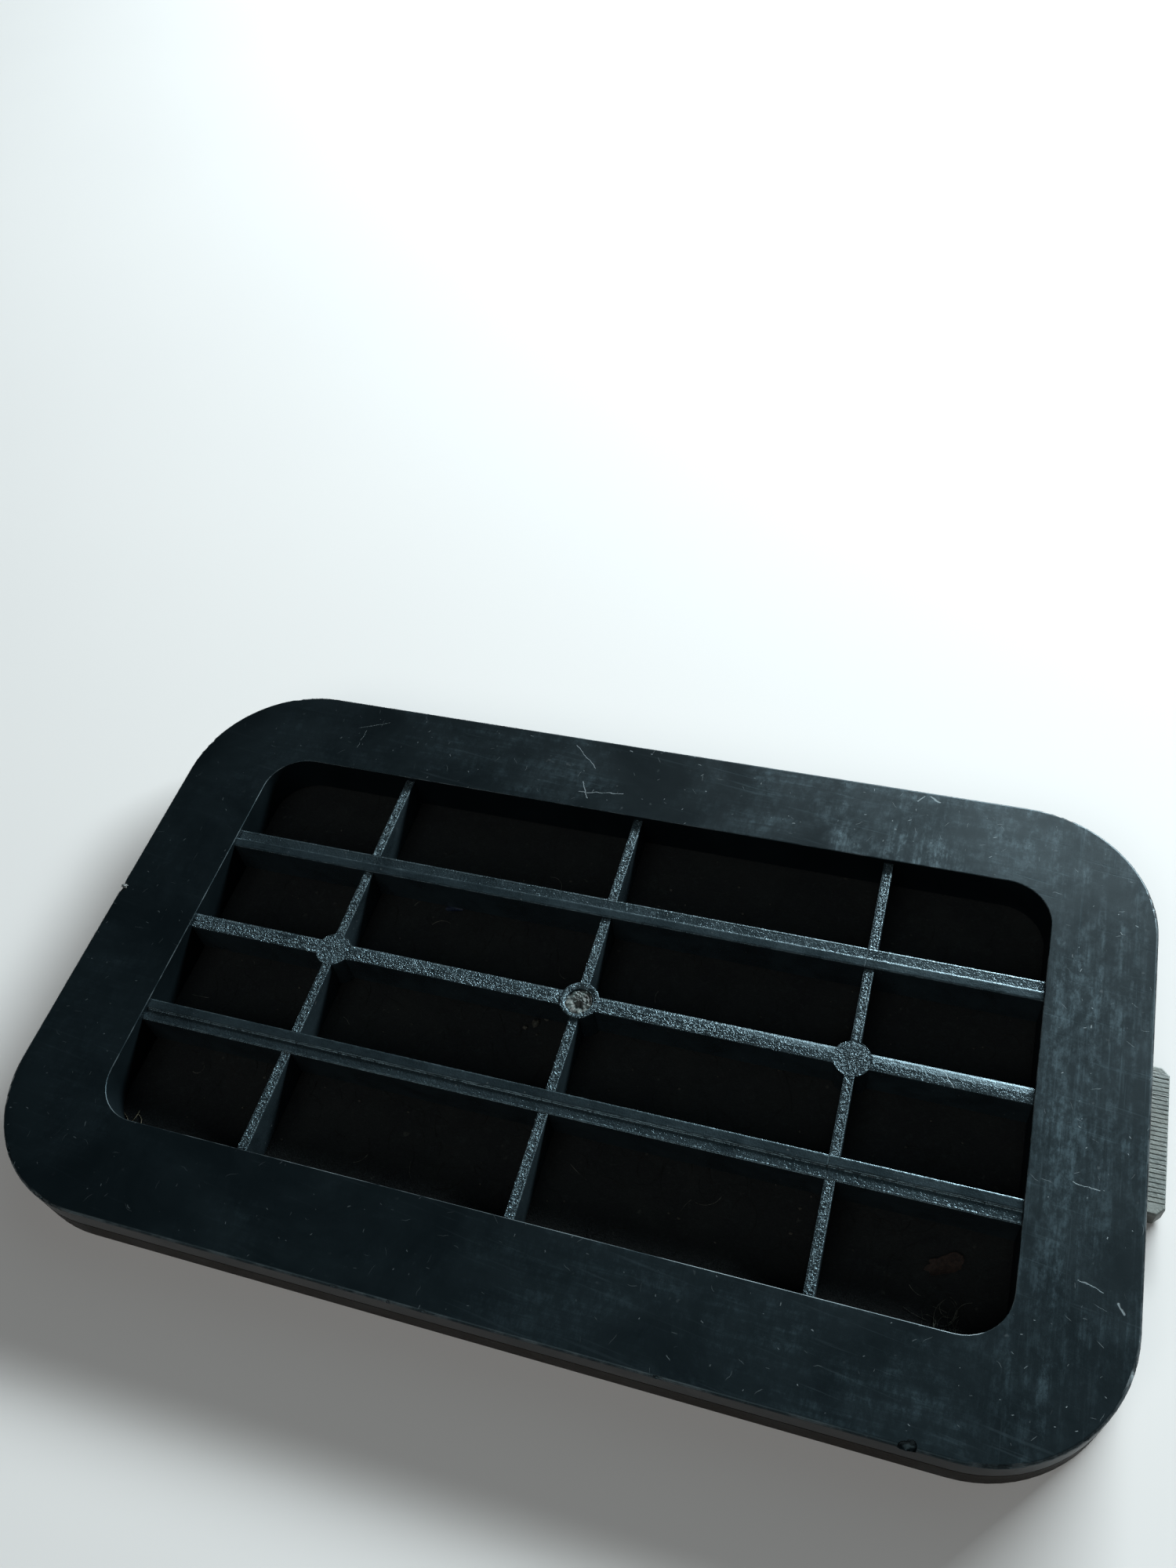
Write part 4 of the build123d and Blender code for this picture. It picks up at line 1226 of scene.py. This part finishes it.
def plain_plastic(name, dark, light, roughness, dirt=(0.05, 0.042, 0.03), coverage=0.4,
                  gloss=0.5):
    """A moulded plastic with tone, dirt and grain, for the parts behind the face."""
    material, graph, shader = new_material(name)
    grain = graph.use(grain_group, {"Grain Scale": 1100.0, "Tone Scale": 40.0}, None)
    dust = dust_on(graph, 28.0, coverage, 800.0)
    rubbed = rubbed_on(graph, 0.3, 380.0, 0.5)
    edge = graph.use(edge_wear_and_highlight_group, {"Break Up": 150.0})
    colour = graph.layers(
        graph.mix(grain["Tone"], dark, light), (dust["Mask"], 0.55, dirt),
        (dust["Specks"], 0.35, (0.16, 0.14, 0.11)), (edge, 0.12, (0.2, 0.21, 0.2)))
    rough = graph.total(roughness, (dust["Mask"], 0.25), (rubbed, -0.1))
    finish(graph, shader, colour, rough, graph.minus(grain["Height"], rubbed), 0.4, 0.0001)
    shader.inputs["Specular IOR Level"].default_value = gloss
    return material


def fibre_mat():
    """Matted fibre with dust and pale specks; its near-black tones are painted shade of the deep
    cells.
    """
    material, graph, shader = new_material("shade_dark_matted_fibre")
    place = graph.place()
    twist = graph.noise(place, 240.0, 6.0, 0.7, 1.6)
    felt = graph.noise(graph.vector("MULTIPLY", place, (1, 2.4, 1)), 900.0, 4.0, 0.7, 1.2)
    tone = graph.noise(place, 34.0, 6.0, 0.65, 0.8)
    dust = dust_on(graph, 55.0, 0.42, 520.0)
    # near-black tones stand in for the shade in the cells as well as the fibre's own dark colour
    colour = graph.mix(graph.step(tone, 0.35, 0.7), (0.0016, 0.0030, 0.0037),
                       (0.0036, 0.0054, 0.0056))
    colour = graph.layers(
        graph.mix(graph.step(twist, 0.5, 0.72), colour, (0.0064, 0.0094, 0.0096)),
        (dust["Mask"], 0.4, (0.0088, 0.0110, 0.0098)),
        (dust["Specks"], 0.5, (0.030, 0.033, 0.028)))
    finish(graph, shader, colour, graph.step(felt, 0.3, 0.7, 0.75, 0.98),
           graph.total(twist, (felt, 0.7)), 0.8, 0.0004)
    shader.inputs["Specular IOR Level"].default_value = 0.25
    return material


def litter(name, dark, light, roughness, scale=420.0):
    """Dry stuff that lies on the mat: leaf, straw, lint or crumbs."""
    material, graph, shader = new_material(name)
    place = graph.place()
    tone = graph.noise(place, scale, 5.0, 0.65, 0.8)
    fine = graph.noise(place, scale * 5, 3.0, 0.6)
    dust = dust_on(graph, 120.0, 0.5, 1500.0, "Mask")
    colour = graph.layers(graph.mix(graph.step(tone, 0.35, 0.68), dark, light), (dust, 0.3, dark))
    rough = graph.step(fine, 0.3, 0.7, roughness - 0.12, roughness + 0.1)
    finish(graph, shader, colour, rough, graph.total(tone, (fine, 0.4)), 0.6, 0.0002)
    shader.inputs["Specular IOR Level"].default_value = 0.25
    return material


def torn_plastic():
    """The stub in the cup: pale broken plastic with dirt in its cracks."""
    material, graph, shader = new_material("torn_plug_plastic")
    place = graph.place()
    cloud = graph.noise(place, 420.0, 6.0, 0.7, 1.0)
    fine = graph.noise(place, 1900.0, 4.0, 0.65)
    dust = dust_on(graph, 260.0, 0.5, 2200.0, "Mask")
    colour = graph.mix(graph.step(cloud, 0.40, 0.64), (0.006, 0.008, 0.0075),
                       (0.075, 0.108, 0.106))
    colour = graph.layers(colour, (dust, 0.3, (0.026, 0.030, 0.023)))
    finish(graph, shader, colour, graph.step(cloud, 0.3, 0.7, 0.75, 0.42),
           graph.total(cloud, (fine, 0.5)), 0.8, 0.00035)
    return material


def tab_plastic():
    """The pull tab: pale grey-green, rough, darker in its grooves."""
    material, graph, shader = new_material("rough_tab_plastic")
    grain = graph.use(grain_group, {"Grain Scale": 1300.0, "Tone Scale": 110.0}, None)
    dust = dust_on(graph, 90.0, 0.55, 1100.0, "Mask")
    lines = rubbed_on(graph, 0.05, 700.0, 0.75)
    tab_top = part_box("pull_tab")[1].z
    low = graph.step(graph.place_xyz()["Z"], tab_top - 1.6 * mm, tab_top - 0.2 * mm, 1.0, 0.0)
    colour = graph.layers(
        graph.mix(grain["Tone"], (0.085, 0.108, 0.106), (0.175, 0.205, 0.20)),
        (lines, 0.45, (0.045, 0.055, 0.052)), (low, 0.6, (0.035, 0.037, 0.030)),
        (dust, 0.35, (0.10, 0.09, 0.06)))
    finish(graph, shader, colour, graph.step(grain["Tone"], 0.0, 1.0, 0.5, 0.72),
           graph.minus(grain["Height"], lines), 0.7, 0.00025)
    return material


def seal_foam():
    """Closed-cell foam: soft grey with open pores."""
    material, graph, shader = new_material("seal_foam")
    pores = graph.add("ShaderNodeTexVoronoi", {"Vector": graph.place(), "Scale": 1900.0})
    pores = pores.outputs["Distance"]
    dust = dust_on(graph, 60.0, 0.5, 900.0, "Mask")
    colour = graph.mix(graph.step(pores, 0.1, 0.6), (0.02, 0.02, 0.018), (0.075, 0.075, 0.068))
    colour = graph.layers(colour, (dust, 0.5, (0.10, 0.085, 0.06)))
    finish(graph, shader, colour, graph.step(pores, 0.0, 0.7, 0.98, 0.8), pores, 0.7, 0.0003)
    return material


def metal(name, colour_a, colour_b, roughness, tarnish, heading):
    """Plated or drawn steel with tarnish and fine draw lines."""
    material, graph, shader = new_material(name)
    shader.inputs["Metallic"].default_value = 1.0
    grain = graph.use(grain_group, {"Grain Scale": 2600.0, "Tone Scale": 240.0}, None)
    lines = rubbed_on(graph, heading, 1600.0, 0.8)
    dust = dust_on(graph, 160.0, 0.42, 1800.0, "Mask")
    colour = graph.layers(graph.mix(grain["Tone"], colour_a, colour_b), (dust, 0.5, tarnish))
    rough = graph.total(roughness, (dust, 0.25), (lines, 0.12))
    finish(graph, shader, colour, rough, graph.minus(grain["Height"], lines), 0.3, 0.00006)
    return material


def ferrite():
    """Dark sintered magnet with pits."""
    material, graph, shader = new_material("sintered_ferrite")
    pits = graph.noise(graph.place(), 1300.0, 5.0, 0.7)
    dust = dust_on(graph, 130.0, 0.45, 1400.0, "Mask")
    colour = graph.mix(graph.step(pits, 0.35, 0.6), (0.012, 0.012, 0.013), (0.05, 0.05, 0.052))
    colour = graph.layers(colour, (dust, 0.4, (0.09, 0.075, 0.05)))
    finish(graph, shader, colour, graph.step(pits, 0.3, 0.7, 0.5, 0.75), pits, 0.6, 0.0002)
    return material


def pale_floor():
    """Plain pale floor with a faint mottle."""
    material, graph, shader = new_material("pale_floor")
    mottle = graph.noise(graph.place(), 3.0, 4.0, 0.5)
    finish(graph, shader, graph.mix(mottle, (0.60, 0.595, 0.59), (0.63, 0.625, 0.615)),
           graph.step(mottle, 0.3, 0.7, 0.85, 0.95))
    return material


# ---- Put the object together -------------------------------------------------------------
grid_material = grid_plastic("textured_grid_plastic")
lip_material = grid_plastic("lipped_bar_plastic", smooth_inside=abs(bar_low.y) + lip_width)
middle_material = grid_plastic("middle_bar_plastic", fade_right=True)
frame_material = plain_plastic("grimy_frame_plastic", (0.0030, 0.0028, 0.0026),
                               (0.0075, 0.0066, 0.0052), 0.55, (0.020, 0.014, 0.009), 0.5,
                               gloss=0.2)
rail_material = plain_plastic("rail_plastic", (0.020, 0.021, 0.022), (0.036, 0.038, 0.039), 0.45)
filter_material = plain_plastic("filter_frame_plastic", (0.012, 0.014, 0.015),
                                (0.024, 0.027, 0.028), 0.48)
screw_material = metal("zinc_screw", (0.42, 0.42, 0.41), (0.60, 0.60, 0.58), 0.34,
                       (0.16, 0.12, 0.08), 0.4)
pin_material = metal("drawn_pin", (0.50, 0.50, 0.50), (0.66, 0.66, 0.65), 0.24,
                     (0.22, 0.19, 0.15), 1.571)

CAD_FINISHES = {
    "mounting_frame": frame_material, "foam_seal": seal_foam(), "catch_magnets": ferrite(),
    "filter_rail_far": rail_material, "filter_rail_near": rail_material,
    "rail_screws": screw_material, "filter_frame": filter_material, "pull_tab": tab_plastic(),
    "tab_screws": screw_material, "bar_screws": screw_material, "rib_screws": screw_material,
    "hinge_pins": pin_material, "catch_plates": screw_material, "catch_screws": screw_material,
}
for name, material in CAD_FINISHES.items():
    nodes[name].data.materials.clear()
    nodes[name].data.materials.append(material)

build_face(face_plastic())
build_burr(litter("bruised_plastic", (0.05, 0.06, 0.062), (0.45, 0.48, 0.48), 0.55))
build_grid(grid_material, lip_material, middle_material)
build_bosses(grid_material)
build_plug(torn_plastic())
mat_level = build_mat(fibre_mat())

brown_fibre = litter("brown_fibre", (0.003, 0.0030, 0.0022), (0.009, 0.0090, 0.0070), 0.85)
green_fibre = litter("dull_green_fibre", (0.002, 0.0032, 0.003), (0.006, 0.0085, 0.0075), 0.85)
lint = litter("pale_lint", (0.04, 0.042, 0.034), (0.15, 0.155, 0.13), 0.9)
straw = litter("dry_straw", (0.05, 0.043, 0.026), (0.17, 0.15, 0.10), 0.7)
leaf = litter("dry_leaf", (0.006, 0.0035, 0.0025), (0.022, 0.013, 0.009), 0.75, 700.0)
blue_scrap = litter("blue_scrap", (0.003, 0.006, 0.014), (0.008, 0.016, 0.035), 0.6)
dirt = litter("dirt_crumb", (0.009, 0.010, 0.0085), (0.050, 0.050, 0.040), 0.9)

# loose fibres: name, material, count, seed, length, thickness, and a tuft's centre and scatter
STRANDS = [
    ("dark_fibres", green_fibre, 420, 11, 22, 0.26, None, 0),
    ("brown_fibres", brown_fibre, 230, 12, 18, 0.24, None, 0),
    ("pale_lint_fibres", lint, 26, 13, 12, 0.2, None, 0),
    ("lint_tuft", lint, 34, 14, 13, 0.26, (161, -88), 3.4),
    ("straw_left", straw, 3, 15, 15, 0.55, (-174, -86), 2.5),
    ("straw_middle", straw, 2, 16, 11, 0.5, (-115, -28), 1.5),
]
for name, material, count, seed, length, thickness, centre, scatter in STRANDS:
    build_strands(name, count, seed, length * mm, thickness * mm, material, mat_level,
                  centre and (centre[0] * mm, centre[1] * mm), scatter * mm)
build_leaf("leaf_scrap", (160 * mm, -66 * mm), (7.5 * mm, 3.4 * mm), 0.5, 1.0, leaf, mat_level)
build_leaf("blue_fragment", (-75 * mm, 41 * mm), (4.2 * mm, 1.5 * mm), 0.1, 5.0, blue_scrap,
           mat_level)

crumb_pick = random.Random(7)
loose_crumbs = 120
crumb_places = [(-20, -6, 2.0), (-24, -9, 1.1), (-16, -3, 0.9), (-18, -11, 0.7)]
for _ in range(loose_crumbs):
    crumb_places.append((crumb_pick.uniform(-170, 170), crumb_pick.uniform(-82, 82),
                         crumb_pick.uniform(0.22, 0.6)))
build_crumbs("dirt_crumbs", [(x * mm, y * mm, size * mm) for x, y, size in crumb_places], 21,
             dirt, mat_level)


# ---- Floor, lights and camera ------------------------------------------------------------
def add_floor(half_width=4.0, gap=0.02 * mm):
    """A wide pale floor just under the object."""
    level = cad_low.z - gap
    corners = [(-half_width, -half_width, level), (half_width, -half_width, level),
               (half_width, half_width, level), (-half_width, half_width, level)]
    mesh = bpy.data.meshes.new("floor")
    mesh.from_pydata(corners, [], [(0, 1, 2, 3)])
    mesh.materials.append(pale_floor())
    put("floor", mesh)


def add_softbox(name, place, target, size, power, colour):
    """A rectangular softbox aimed at a point; its power is in watts."""
    light = bpy.data.lights.new(name, "AREA")
    light.shape = "RECTANGLE"
    light.size, light.size_y = size
    light.energy = power
    light.color = colour
    holder = put(name, light)
    holder.location = place
    holder.rotation_mode = "QUATERNION"
    holder.rotation_quaternion = (Vector(target) - Vector(place)).to_track_quat("-Z", "Y")


def add_world():
    """A dim cool sky, brighter towards the far right."""
    world = bpy.data.worlds.new("sky")
    world.use_nodes = True
    world.node_tree.nodes.clear()
    graph = Graph(world.node_tree)
    way = graph.add("ShaderNodeTexCoord").outputs["Generated"]
    bright_way = Vector((0.38, 0.72, 0.58)).normalized()
    facing = graph.vector("DOT_PRODUCT", way, tuple(bright_way), "Value")
    colour = graph.mix(graph.step(facing, 0.6, 1.0), (0.045, 0.06, 0.068), (0.72, 0.93, 1.0))
    back = graph.add("ShaderNodeBackground", {"Color": colour, "Strength": 0.28})
    graph.add("ShaderNodeOutputWorld", {"Surface": back.outputs[0]})
    bpy.context.scene.world = world


def add_camera(place, heading, pitch, roll, focal_length):
    """A hand-held view: heading, pitch and roll in degrees, focal length in millimetres."""
    lens = bpy.data.cameras.new("camera")
    lens.sensor_fit = "AUTO"
    lens.sensor_width = 36.0
    lens.lens = focal_length
    lens.clip_start = 0.01
    azimuth, elevation, tilt = math.radians(heading), math.radians(pitch), math.radians(roll)
    forward = Vector((math.sin(azimuth) * math.cos(elevation),
                      math.cos(azimuth) * math.cos(elevation), -math.sin(elevation)))
    level_right = forward.cross(Vector((0, 0, 1))).normalized()
    level_up = level_right.cross(forward)
    right = level_right * math.cos(tilt) - level_up * math.sin(tilt)
    turn = Matrix((right, right.cross(forward), -forward)).transposed()
    camera = put("camera", lens)
    camera.matrix_world = Matrix.Translation(place) @ turn.to_4x4()
    bpy.context.scene.camera = camera


add_floor()
add_world()
add_softbox("key", place=(0.95, 2.1, 0.92), target=(0, 0, 0), size=(1.9, 0.36), power=190,
            colour=(0.88, 0.97, 1.0))
add_softbox("front_fill", place=(-0.5, -2.2, 2.6), target=(0, 0.2, 0), size=(2.4, 2.4), power=44,
            colour=(1.0, 0.985, 0.96))
add_camera(place=(0.12959, -0.24227, 0.51313), heading=-24.15, pitch=51.67, roll=9.914,
           focal_length=30.39)
bpy.context.scene.view_settings.view_transform = "Standard"
